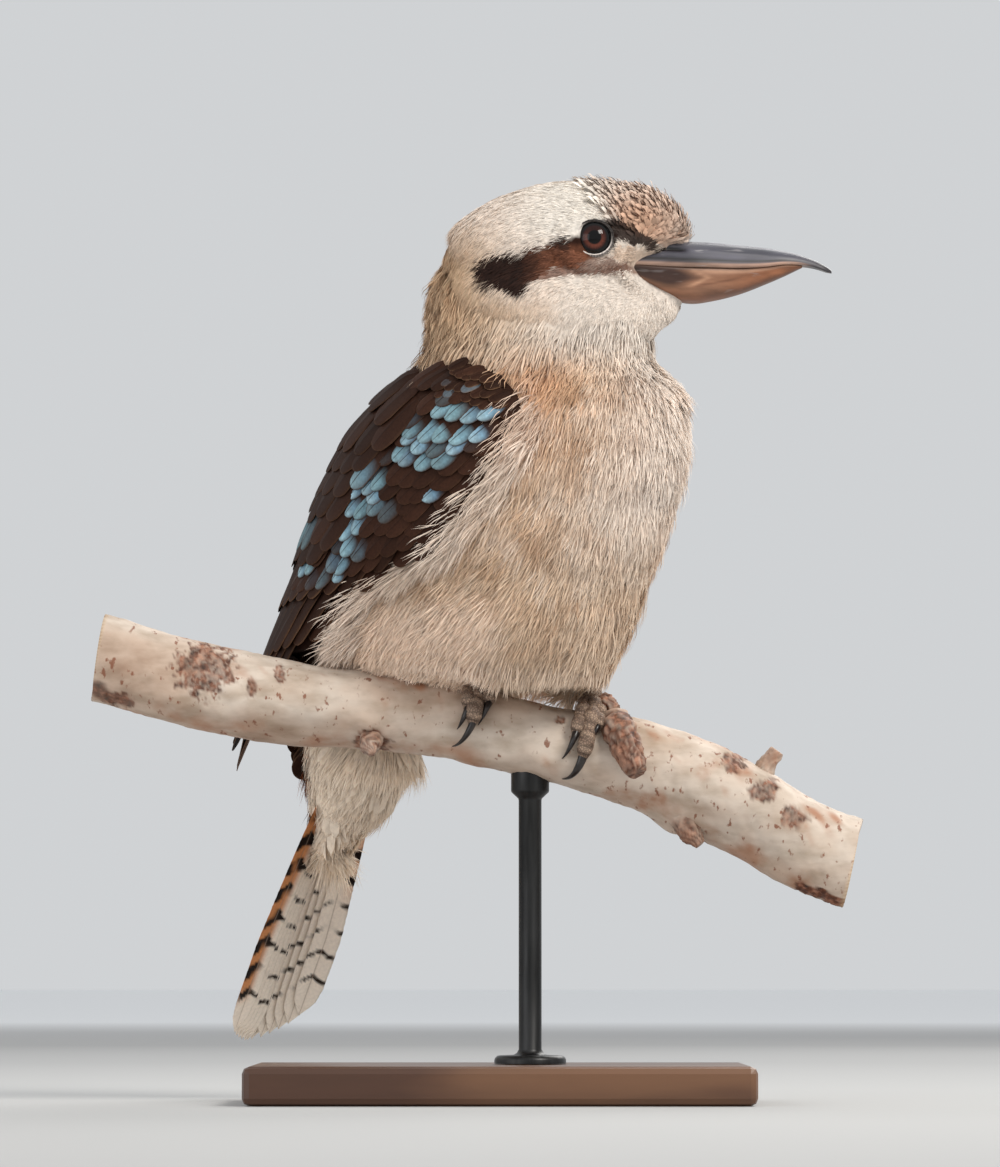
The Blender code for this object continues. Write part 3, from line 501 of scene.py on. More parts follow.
def noise_node(nodes, links, scale, detail=4.0, stretch=None):
    """Noise in the part's own metres, with its coordinates stretched if asked."""
    place = nodes.new("ShaderNodeTexCoord")
    noise = nodes.new("ShaderNodeTexNoise")
    noise.inputs["Scale"].default_value = scale
    noise.inputs["Detail"].default_value = detail
    if stretch is None:
        links.new(place.outputs["Object"], noise.inputs["Vector"])
    else:
        mapping = nodes.new("ShaderNodeMapping")
        mapping.inputs["Scale"].default_value = stretch
        links.new(place.outputs["Object"], mapping.inputs["Vector"])
        links.new(mapping.outputs["Vector"], noise.inputs["Vector"])
    return noise.outputs["Fac"]


def ramp_node(nodes, links, source, stops):
    """A ramp through stops, each a place and a colour or a grey."""
    ramp = nodes.new("ShaderNodeValToRGB")
    while len(ramp.color_ramp.elements) < len(stops):
        ramp.color_ramp.elements.new(0.5)
    for element, (place, shade) in zip(ramp.color_ramp.elements, stops):
        element.position = place
        element.color = (*np.broadcast_to(shade, 3), 1.0)
    links.new(source, ramp.inputs["Fac"])
    return ramp.outputs["Color"]


def mix_node(nodes, links, kind, factor, first, second):
    mix = nodes.new("ShaderNodeMix")
    mix.data_type = "RGBA"
    mix.blend_type = kind
    if isinstance(factor, float):
        mix.inputs["Factor"].default_value = factor
    else:
        links.new(factor, mix.inputs["Factor"])
    for value, socket in ((first, mix.inputs["A"]), (second, mix.inputs["B"])):
        if isinstance(value, bpy.types.NodeSocket):
            links.new(value, socket)
        else:
            socket.default_value = (*value, 1.0)
    return mix.outputs["Result"]


def bump_node(nodes, links, shader, height, strength, distance):
    bump = nodes.new("ShaderNodeBump")
    bump.inputs["Strength"].default_value = strength
    bump.inputs["Distance"].default_value = distance
    links.new(height, bump.inputs["Height"])
    links.new(bump.outputs["Normal"], shader.inputs["Normal"])


def attribute_node(nodes, name):
    found = nodes.new("ShaderNodeAttribute")
    found.attribute_name = name
    return found.outputs["Color"]


def toned(nodes, links, shader, source, low, high):
    """Colours a piece by its own tint, darker and lighter as the source goes."""
    tone = ramp_node(nodes, links, source, [(0.3, low), (0.7, high)])
    mixed = mix_node(nodes, links, "MULTIPLY", 1.0, attribute_node(nodes, "tint"), tone)
    links.new(mixed, shader.inputs["Base Color"])


def plumage_material(name, roughness, scale, low, high, specular=0.25):
    """Feathers whose colour comes from their own tint, with fine light and dark streaks."""
    made, nodes, links, shader = new_material(name, roughness, specular)
    toned(nodes, links, shader, noise_node(nodes, links, scale), low, high)
    return made


DOWN = plumage_material("down", 0.85, 420.0, 0.86, 1.10)
VANES = plumage_material("vanes", 0.70, 900.0, 0.82, 1.15, 0.10)
TAIL_VANES = plumage_material("tail_vanes", 0.70, 700.0, 0.93, 1.06, 0.10)


def dress(thing, made, *nodes, slot=None):
    """Gives a piece its material, its body, and the solids that it stands for."""
    thing.data.materials.clear()
    thing.data.materials.append(made)
    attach(thing, "root")
    if nodes:
        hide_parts(*nodes)


def tail_frame():
    tip = np.array(TAIL_TIP)
    ahead = unit(tip - np.array(TAIL_ROOT))
    turn = math.radians(TAIL_TURN)
    leftward = np.array([math.sin(turn), math.cos(turn), 0.0])
    leftward = unit(leftward - ahead * leftward.dot(ahead))
    return tip - ahead * TAIL_LENGTH, ahead, leftward, np.cross(leftward, ahead)


# Markings, the same for skin and coat
CREAM = colour(0.945, 0.885, 0.83)
BROW = colour(0.955, 0.925, 0.885)
NAPE = colour(0.83, 0.69, 0.54)
WHITE = colour(0.925, 0.880, 0.835)
RUFOUS = colour(0.76, 0.52, 0.34)
DARK = colour(0.17, 0.10, 0.075)
STREAK = colour(0.48, 0.305, 0.225)
BREAST = colour(0.955, 0.90, 0.85)
BUFF = colour(0.89, 0.755, 0.62)
TAN = colour(0.68, 0.51, 0.37)
SHOULDER = colour(0.84, 0.62, 0.45)
BELLY = colour(0.89, 0.78, 0.665)
VENT = colour(0.98, 0.915, 0.835)
MANTLE = colour(0.235, 0.142, 0.100)
LORES = colour(0.90, 0.81, 0.73)
SCALE = colour(0.24, 0.13, 0.08)
PALE_FLANK = colour(0.98, 0.88, 0.79)
RUMP_RUFOUS = colour(0.72, 0.47, 0.30)
RUMP_BAR = colour(0.16, 0.10, 0.08)
# The plane on which the head's markings are read off the photo
HEAD_DEPTH = -0.04

# Strokes on the head in the photo's pixels: each point and the stroke's radius there
EAR_STRIPE = [(604, 240, 15), (572, 255, 15), (547, 261, 16), (513, 276, 23), (489, 277, 17)]
EYE_LINE = [(611, 229, 9), (630, 235, 10), (652, 243, 5)]
GAPE_STREAK = [(648, 268, 3), (600, 271, 4), (565, 275, 6), (540, 282, 6)]
UNDER_EYE = [(572, 262, 11), (600, 263, 8), (630, 266, 5)]
LORES_LINE = [(622, 255, 9), (640, 256, 10), (660, 254, 9)]
NOSTRIL_LINE = [(659, 249.5, 3.2), (682, 250.5, 3.2)]


def head_share(points):
    """1 on the head, 0 on the body, along the head's lower edge."""
    throat = HEAD.at(points[:, 0])[:, 1] - 0.009 * ease(0.050, 0.064, points[:, 0])
    return ease(-0.006, 0.006, points[:, 2] - throat)


def forehead_share(u, v):
    """1 where the forehead's scaled pattern lies in the photo."""
    behind = ease(-10, 12, u - 584 - (v - 177) * 0.62)
    return behind * ease(4, -4, v - 226 - (u - 612) * 0.36)


def head_marking(points):
    u, v = pixel_of(points, HEAD_DEPTH)
    aside = np.abs(points[:, 1] - HEAD_MIDLINE)
    centre = ease(0.013, 0.004, aside) * ease(430, 520, u) * ease(230, 205, v)
    warm = 0.25 + 0.75 * ease(60, 8, np.hypot((u - 636) * 0.8, v - 226))
    under = near_path(u, v, UNDER_EYE) + waves(points, 0.006, 18) * 0.2
    red = ease(518, 556, u) * 0.85 * ease(606, 588, u) * ease(243, 258, v)
    reddish = blend(DARK, STREAK * 1.25, red)
    reddish = reddish * (1 + 0.35 * waves(points * [0.6, 1.0, 2.2], 0.0030, 20))[:, None]
    ragged = waves(points * [0.5, 1.0, 1.6], 0.0055, 17) * 0.10
    return painted(CREAM, [
        (BROW, ease(480, 560, u) * ease(262, 225, v)),
        (NAPE, ease(522, 445, u) * ease(205, 265, v) * 0.95),
        (NAPE, ease(590, 490, u) * ease(285, 325, v) * 0.8),
        (TAN, centre * 0.30),
        (WHITE, ease(540, 575, u) * ease(266, 276, v)),
        (RUFOUS, forehead_share(u, v) * warm * 0.72),
        (LORES, ease(0.0, 0.4, near_path(u, v, LORES_LINE))),
        (STREAK, ease(0.0, 0.5, near_path(u, v, GAPE_STREAK)) * 0.8),
        (STREAK * 0.8, ease(0.0, 0.5, under) * 0.75),
        (DARK * 1.2, ease(-0.05, 0.30, near_path(u, v, EYE_LINE)) * 0.95),
        (DARK * 0.4, ease(0.0, 0.35, near_path(u, v, NOSTRIL_LINE))),
        (reddish, ease(-0.05, 0.20, near_path(u, v, EAR_STRIPE) + ragged)),
    ])


def tip_marking(points, base, chance):
    """The tips' colour: dark scales on the forehead, specks on the crown and the nape."""
    u, v = pixel_of(points, HEAD_DEPTH)
    dark = forehead_share(u, v) * (chance > 0.40)
    speck = ease(430, 455, u) * ease(580, 540, u) * ease(250, 238, v) * (chance > 0.94)
    ruffle = ease(455, 440, u) * ease(262, 280, v) * ease(362, 345, v) * (chance > 0.72) * 0.8
    dark = np.maximum(np.maximum(dark, speck * 0.8), ruffle) * ease(0.300, 0.308, points[:, 2])
    return blend(base * 1.06, SCALE, dark)


def body_marking(points):
    angle = np.abs(body_angle(points))
    z = points[:, 2]
    patch = ease(30, 4, np.abs(angle - 74)) * ease(0.034, 0.010, np.abs(z - 0.284))
    stretched = points * [1.0, 1.0, 0.55]
    mottle = waves(stretched, 0.019, 11) * 0.55 + waves(stretched, 0.0085, 12) * 0.55
    low = ease(0.178, 0.195, z) * ease(0.318, 0.280, z)
    side = 0.35 + 0.65 * ease(5, 50, angle)
    neck = blend(WHITE, NAPE * 1.02, ease(50, 140, angle) * 0.9)
    above = (points - np.array(TAIL_ROOT)) @ tail_frame()[3]
    rump = ease(0.000, 0.005, above) * ease(0.178, 0.170, z) * ease(100, 112, angle)
    wave = np.abs((z / 0.0115 + 0.1 * waves(points, 0.02, 19)) % 1.0 - 0.5) * 2
    barred = blend(RUMP_RUFOUS, RUMP_BAR, ease(0.55, 0.35, wave))
    return painted(BREAST, [
        (BUFF, ease(10, 60, angle) * 0.85),
        (BELLY, ease(0.250, 0.205, z) * 0.8),
        (SHOULDER, patch * 0.65),
        (TAN, np.clip(mottle, 0, 1.1) * 0.66 * low * side),
        (BREAST, np.clip(-mottle, 0, 1) * 0.45 * low),
        (PALE_FLANK, ease(40, 62, angle) * ease(0.215, 0.195, z) * 0.95),
        (neck, ease(0.292, 0.318, z)),
        (VENT, ease(0.174, 0.164, z)),
        (barred, rump),
        (MANTLE, ease(126, 140, angle) * ease(0.308, 0.300, z) * ease(0.150, 0.170, z)),
    ])


def marking(points):
    share = head_share(points)
    return blend(body_marking(points), head_marking(points), share)


# The skin under the coat
def coat_depth(points):
    """How far the skin lies inside the outline."""
    share = head_share(points)
    trunk = 0.0056 - 0.0022 * ease(0.308, 0.322, points[:, 2])
    depth = trunk * (1 - share) + 0.0019 * share
    eye = eye_gap(points)
    socket = ease(0.017, 0.0115, eye) * (0.0013 - 0.0004 * ease(0.0100, 0.0070, eye))
    depth = np.where(share > 0.5, depth - socket, depth)
    depth = depth - 0.0012 * share * ease(0.052, 0.062, points[:, 0])
    return depth - 0.0016 * ease(0.176, 0.168, points[:, 2])


SKIN_SIDES = 72
SKIN_VOXEL = 0.0018


def make_skin():
    """One surface over body, neck, head and thighs, set in by the coat's depth."""
    turns = np.linspace(-180, 180, SKIN_SIDES, endpoint=False)
    whole = Profile(BODY_ROWS[:-2] + NAPE_ROWS)
    heights = np.linspace(BODY_ROWS[0][0], NAPE_ROWS[-1][0], 116)
    parts = [loft([body_point(whole, np.full(SKIN_SIDES, h), turns) for h in heights])]
    chin = Profile(CHIN_ROWS)
    rings = []
    for x in np.linspace(CHIN_ROWS[0][0], CHIN_ROWS[-1][0], 24):
        top, low, half = chin.at(x)
        a = circle(40)
        rings.append(np.stack([np.full(40, x), HEAD_MIDLINE + half * np.cos(a),
                               (top + low) / 2 + (top - low) / 2 * np.sin(a)], axis=1))
    parts.append(loft(rings))
    places = np.linspace(HEAD_ROWS[0][0], HEAD_ROWS[-1][0], 64)
    parts.append(loft([head_ring(x, 56) for x in places]))
    for node in ("leg_left", "leg_right"):
        low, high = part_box(node)
        middle = (np.array(low) + np.array(high)) / 2
        path = [(middle[0] + 0.003, middle[1] - 0.006, low[2]), (*middle[:2], middle[2]),
                (middle[0] - 0.004, middle[1] + 0.006, high[2])]
        parts.append(loft(tube_rings(path, [0.0070, 0.0120, 0.0130], 20)))
    skin = new_mesh("skin", *merged(parts))
    bpy.context.view_layer.objects.active = skin
    remesh = skin.modifiers.new("one surface", "REMESH")
    remesh.mode = "VOXEL"
    remesh.voxel_size = SKIN_VOXEL
    smoothed(skin, "even", 6)
    place = read_vectors(applied(skin).vertices, "co")
    nape = ease(0.022, -0.004, place[:, 0]) * ease(0.308, 0.318, place[:, 2])
    nape = nape * ease(0.372, 0.362, place[:, 2])
    cheek = ease(0.300, 0.312, place[:, 2]) * ease(0.342, 0.334, place[:, 2])
    group = skin.vertex_groups.new(name="nape")
    for index, share in enumerate(np.maximum(nape, cheek)):
        if share > 0.01:
            group.add([index], float(share), "REPLACE")
    smoothed(skin, "nape", 60, "nape")
    mesh = applied(skin)
    co = read_vectors(mesh.vertices, "co")
    co -= read_vectors(mesh.vertex_normals, "vector") * coat_depth(co)[:, None]
    mesh.vertices.foreach_set("co", co.astype(np.float32).ravel())
    mesh.update()
    mesh.shade_smooth()
    # Painted shade: the skin takes the coat's colours, darker beneath the coat, more on the body
    # than on the head
    put_colours(mesh, "tint", marking(co) * (0.72 + 0.16 * head_share(co))[:, None])
    made, nodes, links, shader = new_material("skin", 0.9, 0.1)
    grain = noise_node(nodes, links, 600.0)
    toned(nodes, links, shader, grain, 0.75, 1.1)
    bump_node(nodes, links, shader, grain, 0.4, 0.0006)
    dress(skin, made, "torso", "neck", "head", "leg_left", "leg_right", slot="belly_feathers")
    mesh.calc_loop_triangles()
    triangles = np.empty(len(mesh.loop_triangles) * 3, dtype=np.int32)
    mesh.loop_triangles.foreach_get("vertices", triangles)
    return co, read_vectors(mesh.vertex_normals, "vector"), triangles.reshape(-1, 3)


SKIN_POINTS, SKIN_NORMALS, SKIN_FACES = make_skin()


def scatter(draw, count, weight):
    """Places on the skin, as many where the weight is 1 as an even spread would give."""
    corners = SKIN_POINTS[SKIN_FACES]
    cross = np.cross(corners[:, 1] - corners[:, 0], corners[:, 2] - corners[:, 0])
    area = np.linalg.norm(cross, axis=1) / 2
    share = area * weight(corners.mean(axis=1))
    chosen = draw.choice(len(share), size=count, p=share / share.sum())
    a, b = draw.random(count), draw.random(count)
    flip = a + b > 1
    a, b = np.where(flip, 1 - a, a), np.where(flip, 1 - b, b)
    mixes = np.stack([1 - a - b, a, b], axis=1)[:, :, None]
    places = (corners[chosen] * mixes).sum(axis=1)
    normals = unit((SKIN_NORMALS[SKIN_FACES[chosen]] * mixes).sum(axis=1))
    return places, normals


# How the head's feathers lie, seen from the side: place, direction and reach of each
HEAD_LIE = [
    ((0.078, 0.372), (-0.75, 0.66), 0.010),
    ((0.060, 0.384), (-1.0, 0.10), 0.015),
    ((0.030, 0.388), (-1.0, -0.05), 0.020),
    ((-0.005, 0.378), (-0.85, -0.5), 0.014),
    ((-0.022, 0.355), (-0.35, -1.0), 0.014),
    ((0.066, 0.357), (0.85, 0.25), 0.007),
    ((0.052, 0.365), (-0.9, 0.3), 0.008),
    ((0.030, 0.349), (-1.0, -0.15), 0.012),
    ((0.000, 0.352), (-1.0, -0.45), 0.014),
    ((0.055, 0.339), (-0.9, -0.45), 0.008),
    ((0.068, 0.331), (-0.35, -0.9), 0.010),
    ((0.030, 0.330), (-0.6, -0.9), 0.015),
    ((0.000, 0.330), (-0.5, -1.0), 0.015),
]


def lie_of(points, normals):
    """The direction in which the coat lies at each place."""
    forward = body_frame(BODY, points[:, 2])[1]
    angle = np.abs(body_angle(points))
    z = points[:, 2]
    back = 0.28 + 0.62 * ease(0.285, 0.215, z) * ease(10, 60, angle) + 0.25 * ease(0.22, 0.18, z)
    back = back * ease(175, 120, angle)
    body = np.array([0.0, 0.0, -1.0]) - forward * back[:, None]
    tail = unit(np.array(TAIL_TIP) - np.array(TAIL_ROOT))
    rear = ease(0.176, 0.160, z)[:, None]
    body = unit(body) * (1 - rear) + tail * rear
    total = np.zeros((len(points), 2))
    for (x, height), direction, reach in HEAD_LIE:
        weight = np.exp(-((points[:, 0] - x) ** 2 + (z - height) ** 2) / reach**2) + 1e-9
        total += weight[:, None] * unit(np.array(direction))
    total = unit(total)
    head = np.stack([total[:, 0], np.zeros(len(points)), total[:, 1]], axis=1)
    share = head_share(points)[:, None]
    mixed = unit(body * (1 - share) + head * share)
    flat = mixed - normals * np.sum(mixed * normals, axis=1, keepdims=True)
    return unit(flat)


def unwrap(points):
    """Each place on an unwrap of the skin: round the body and up it, then round the head."""
    angle = body_angle(points)
    body = np.stack([(angle + 180) / 360 * 0.60, (points[:, 2] - 0.10) / 0.25], axis=1)
    middle = HEAD.at(points[:, 0])[:, :2].mean(axis=1)
    turn = np.arctan2(points[:, 1] - HEAD_MIDLINE, points[:, 2] - middle)
    head = np.stack([0.62 + (turn + math.pi) / (2 * math.pi) * 0.37,
                     (points[:, 0] + 0.03) / 0.12], axis=1)
    place = np.where(head_share(points)[:, None] > 0.5, head, body)
    return np.clip(place, 0.002, 0.994)


# The side of a blade's patch on the bake's map, how far its root is sunk, and how much it sways
BLADE_PATCH = 0.003
BLADE_SINK = 0.0005
BLADE_SWAY = 0.10


def ribbons(name, root, normal, ahead, length, width, height, tint, tip, draw,
            bend, roll, rows, shape, fade_from):
    """Thin pointed blades along the skin, as one piece of mesh."""
    count = len(root)
    side = unit(np.cross(normal, ahead))
    turn = draw.normal(0, roll, count)[:, None]
    leaf = side * np.cos(turn) + normal * np.sin(turn)
    drift = draw.normal(0, BLADE_SWAY, count)[:, None]
    stations = np.array([*rows, 1.0])[None, :]
    along = length[:, None] * stations
    lift = height[:, None] * (1 - (1 - stations) ** 1.7) - BLADE_SINK * (1 - stations)
    lift = lift - along**2 / (2 * np.broadcast_to(bend, count)[:, None])
    centre = root[:, None] + ahead[:, None] * along[..., None] + normal[:, None] * lift[..., None]
    centre = centre + side[:, None] * (drift * along * stations)[..., None]
    half = width[:, None] / 2 * np.array(shape)[None, :]
    body = centre[:, :-1]
    left = body - leaf[:, None] * half[..., None]
    right = body + leaf[:, None] * half[..., None]
    steps = len(rows)
    points = np.concatenate([np.stack([left, right], axis=2).reshape(count, steps * 2, 3),
                             centre[:, -1:]], axis=1)
    each = steps * 2 + 1
    faces = []
    for i in range(steps - 1):
        a = 2 * i
        faces += [(a, a + 1, a + 3), (a, a + 3, a + 2)]
    faces.append((each - 3, each - 2, each - 1))
    faces = np.array(faces)
    triangles = (faces[None] + (np.arange(count) * each)[:, None, None]).reshape(-1, 3)
    shares = np.append(np.repeat(rows, 2), 1.0)
    patch = np.stack([[-0.5, 0.5] * steps + [0.0], shares], axis=1) * BLADE_PATCH
    places = unwrap(root)[:, None] + patch[None]
    shares = shares[None, :, None]
    fade = ease(fade_from, 0.95, shares)
    shades = tint[:, None] * (0.80 + 0.20 * shares) * (1 - fade) + tip[:, None] * fade
    return solid_piece(name, points.reshape(-1, 3), triangles, shades.reshape(-1, 3),
                       places.reshape(-1, 2))


def solid_piece(name, points, triangles, shades, places):
    """A mesh object from arrays, with its tint and its bake map."""
    mesh = bpy.data.meshes.new(name)
    mesh.vertices.add(len(points))
    mesh.vertices.foreach_set("co", points.astype(np.float32).ravel())
    mesh.loops.add(len(triangles) * 3)
    mesh.loops.foreach_set("vertex_index", triangles.astype(np.int32).ravel())
    mesh.polygons.add(len(triangles))
    mesh.polygons.foreach_set("loop_start", np.arange(0, len(triangles) * 3, 3, dtype=np.int32))
    mesh.update(calc_edges=True)
    mesh.shade_smooth()
    put_colours(mesh, "tint", shades)
    put_map(mesh, places)
    thing = bpy.data.objects.new(name, mesh)
    bpy.context.scene.collection.objects.link(thing)
    return thing


def tuft_roots(draw, places, normals, ahead, blades, spread, fan):
    """Each feather's blades: their roots side by side, fanned out, the outer ones shorter."""
    count = len(places)
    side = unit(np.cross(normals, ahead))
    across = draw.uniform(-1, 1, (count, blades))
    offset = across[..., None] * spread * side[:, None]
    back = draw.uniform(-0.6, 0.6, (count, blades))[..., None] * spread * ahead[:, None]
    roots = places[:, None] + offset + back
    lean = ahead[:, None] + side[:, None] * (across * fan)[..., None]
    reach = 1.0 - 0.22 * across**2
    owner = np.repeat(np.arange(count), blades)
    return roots.reshape(-1, 3), normals[owner], unit(lean.reshape(-1, 3)), reach.ravel(), owner


def under_wing(points):
    """1 where a folded wing covers the body."""
    angle = -np.abs(body_angle(points))
    z = points[:, 2]
    near, far = LEADING_EDGE.at(z)[:, 0], BACK_EDGE.at(z)[:, 0]
    inside = ease(near + 3, near - 5, angle) * ease(far - 8, far + 2, angle)
    return inside * ease(0.186, 0.194, z) * ease(0.304, 0.298, z)


def bare_face(points):
    """1 where the bill or an eye takes the place of the coat."""
    top, low = np.moveaxis(FACE.at(points[:, 0]), -1, 0)
    bill = (points[:, 0] > 0.0555) & (points[:, 2] < top) & (points[:, 2] > low)
    aside = np.abs(points[:, 1] - HEAD_MIDLINE)
    eye = (eye_gap(points) < 0.0086) & (aside > 0.012)
    nostril = np.hypot((points[:, 0] - 0.0700) / 0.0085, (points[:, 2] - 0.3550) / 0.0027) < 1
    return (bill | eye | nostril).astype(float)


# The coat's lower edge in front of the perch, from the photo: place and height
PERCH_LINE = [
    (-0.079, 0.1880), (-0.060, 0.1840), (-0.040, 0.1815), (-0.024, 0.1800), (-0.012, 0.1768),
    (0.0, 0.1690), (0.014, 0.1670), (0.025, 0.1705), (0.034, 0.1726), (0.045, 0.1720),
]


def body_coat(name, seed, count, blades, weight, length, width, height, spread, tone=0.12,
              bend=0.06, roll=0.35, fan=0.22, hang=0.0, sweep=0.0, drop=None, clump=0.25,
              shape=(0.8, 1.0, 0.7), rows=(0.0, 0.4, 0.75), tipped=True, fade_from=0.45,
              pale=0.0):
    """One piece of the coat: feathers of a few blades each, spread by weight over the skin."""
    draw = np.random.default_rng(seed)
    places, normals = scatter(draw, count, weight)
    if drop is not None:
        kept = normals[:, 2] > drop
        places, normals = places[kept], normals[kept]
        count = len(places)
    ahead = lie_of(places, normals)
    if hang or sweep:
        forward = body_frame(BODY, places[:, 2])[1]
        ahead = unit(ahead - forward * sweep + np.array([0.0, 0.0, -hang]))
    grade = length(places) if callable(length) else np.full(count, length)
    whole = grade.max()
    grade = grade * draw.uniform(0.85, 1.15, count)
    roots, ups, fans, reach, owner = tuft_roots(draw, places, normals, ahead, blades, spread, fan)
    total = len(roots)
    long = grade[owner] * reach * draw.uniform(0.78, 1.15, total)
    fall = np.maximum(-fans[:, 2] * long, 1e-5)
    floor = np.interp(roots[:, 0], *zip(*PERCH_LINE))
    room = np.clip((roots[:, 2] - floor) / fall, 0.18, 1.0)
    cropped = (roots[:, 1] < 0.0) & (fans[:, 2] < 0) & (roots[:, 2] > 0.165)
    long = np.where(cropped, long * room, long)
    wide = width * draw.uniform(0.7, 1.3, total)
    rise = height * draw.uniform(0.70, 1.10, total)
    rise = rise * np.clip(1 + clump * draw.normal(0, 1, count), 0.4, 1.7)[owner]
    rise = rise * (grade / whole)[owner]
    seen = places + ahead * (grade * 0.6)[:, None]
    base = blend(marking(seen), BREAST, np.full(count, pale))
    chance = draw.random(count)
    tip = (tip_marking(seen, base, chance) if tipped else base * 1.06)[owner]
    feather = 1 + tone * draw.normal(0, 1, count)[owner] + 0.06 * draw.normal(0, 1, total)
    feather = np.clip(feather, 0.45, 1.5)[:, None]
    return ribbons(name, roots, ups, fans, long, wide, rise, base[owner] * feather,
                   tip * feather, draw, bend, roll, rows, shape, fade_from)


def head_length(points):
    """How long the head's feathers are: shortest round the eye and the bill, longest behind."""
    share = ease(0.010, 0.030, eye_gap(points)) * 0.5 + ease(0.060, 0.020, points[:, 0]) * 0.5
    return 0.0032 + 0.0054 * share + 0.0030 * ease(0.012, -0.010, points[:, 0])


def flank(points):
    """1 along the body in front of a folded wing's lower edge."""
    angle = -np.abs(body_angle(points))
    near = LEADING_EDGE.at(points[:, 2])[:, 0]
    inside = ease(near - 2, near + 2, angle) * ease(near + 13, near + 5, angle)
    return inside * ease(0.190, 0.196, points[:, 2]) * ease(0.296, 0.288, points[:, 2])


def make_coat():
    """The coat of body, neck, head and vent.

    Each piece: name, seed, feathers, blades in each, where they grow, and a blade's length,
    width, height above the skin and spread.
    """
    lobe = (0.75, 1.0, 0.85)
    not_back = lambda p: ease(150, 138, np.abs(body_angle(p)))
    dense = lambda p: 1 + 1.2 * ease(0.02, 0.05, p[:, 0])
    head = lambda p: (head_share(p) > 0.5) * (1 - bare_face(p)) * dense(p)
    neck = lambda p: (head_share(p) <= 0.5) * ease(0.296, 0.302, p[:, 2])
    trunk = lambda p: (p[:, 2] > 0.170) * (p[:, 2] < 0.304) * (1 - under_wing(p)) * not_back(p)
    vent = lambda p: (p[:, 2] < 0.178) * (p[:, 2] > 0.106) * 1.0
    fringe = lambda p: ease(0.168, 0.172, p[:, 2]) * ease(0.192, 0.184, p[:, 2]) * not_back(p)
    collar = lambda p: ease(64, 90, np.abs(body_angle(p))) * ease(0.299, 0.303, p[:, 2])
    skirt = lambda p: collar(p) * ease(0.320, 0.313, p[:, 2])
    scales = lambda p: head(p) * forehead_share(*pixel_of(p, HEAD_DEPTH))
    short, one = dict(rows=(0.0, 0.55), tipped=False), (0.9, 1.0)
    pieces = [
        body_coat("coat_head_under", 21, 7500, 2, head, head_length, 0.0014, 0.0005, 0.0008,
                  tone=0.03, bend=0.035, roll=0.1, clump=0.08, shape=lobe),
        body_coat("coat_head_0", 22, 9000, 6, head, head_length, 0.00042, 0.0012, 0.0010, tone=0.03,
                  bend=0.035, shape=one, clump=0.12, **short),
        body_coat("coat_head_1", 20, 9000, 6, head, head_length, 0.00036, 0.0014, 0.0010, tone=0.04,
                  bend=0.035, shape=one, clump=0.14, **short),
        body_coat("coat_forehead", 36, 1900, 1, scales, 0.0052, 0.0017, 0.0026, 0.0004, tone=0.16,
                  bend=0.035, roll=0.10, shape=(0.8, 1.0, 0.9), fade_from=0.70, fan=0.0),
        body_coat("coat_neck_under", 23, 2800, 2, neck, 0.0100, 0.0030, 0.0020, 0.0016,
                  tone=0.03, bend=0.045, roll=0.08, clump=0.08, shape=lobe),
        body_coat("coat_neck", 24, 3500, 8, neck, 0.0105, 0.00045, 0.0042, 0.0018, tone=0.08,
                  bend=0.045),
        body_coat("coat_trunk_under", 25, 6500, 2, trunk, 0.0140, 0.0044, 0.0030, 0.0022,
                  tone=0.06, bend=0.060, roll=0.12, shape=lobe, clump=0.08),
        body_coat("coat_trunk_0", 26, 2500, 10, trunk, 0.0155, 0.00056, 0.0044, 0.0026, tone=0.06,
                  clump=0.15),
        body_coat("coat_trunk_1", 27, 3600, 10, trunk, 0.0170, 0.00044, 0.0048, 0.0024, tone=0.06,
                  clump=0.18),
        body_coat("coat_trunk_2", 28, 3600, 10, trunk, 0.0185, 0.00038, 0.0052, 0.0020, tone=0.07,
                  clump=0.24),
        body_coat("coat_vent_under", 31, 1800, 2, vent, 0.0150, 0.0040, 0.0026, 0.0022,
                  tone=0.02, roll=0.12, shape=lobe),
        body_coat("coat_vent", 32, 3200, 8, vent, 0.0220, 0.00045, 0.0032, 0.0024, tone=0.03,
                  bend=0.070, roll=0.2, clump=0.12),
        body_coat("coat_fringe", 33, 2200, 7, fringe, 0.0180, 0.00042, 0.0030, 0.0024,
                  tone=0.08, hang=1.3, drop=-0.88, clump=0.5, pale=0.25),
        body_coat("coat_flank", 34, 1300, 8, flank, 0.0190, 0.00040, 0.0100, 0.0018,
                  tone=0.08, sweep=0.30, bend=0.050, clump=0.35, fan=0.30, pale=0.5),
        body_coat("coat_skirt", 35, 1300, 8, skirt, 0.0150, 0.0005, 0.0085, 0.0020, tone=0.07,
                  bend=0.045),
    ]
    for thing in pieces:
        dress(thing, DOWN, slot="head_feathers" if "head" in thing.name else "belly_feathers")


make_coat()


# Folded wings
def wing_spot(sign, height, angle):
    """Points on the surface that a folded wing lies on, with their outward directions."""
    turn = -sign * angle
    place = body_point(WING, height, turn)
    round_body = body_point(WING, height, turn + 0.5) - body_point(WING, height, turn - 0.5)
    along_body = body_point(WING, height + 0.0005, turn) - body_point(WING, height - 0.0005, turn)
    return place, unit(np.cross(round_body, along_body))


def core_rise(height, angle):
    near, far = LEADING_EDGE.at(height)[..., 0], BACK_EDGE.at(height)[..., 0]
    share = np.clip((angle - near) / (far - near), 0.0, 1.0)
    return WING_CORE_EDGE + WING_CORE * (1 - np.abs(2 * share - 1) ** 4)


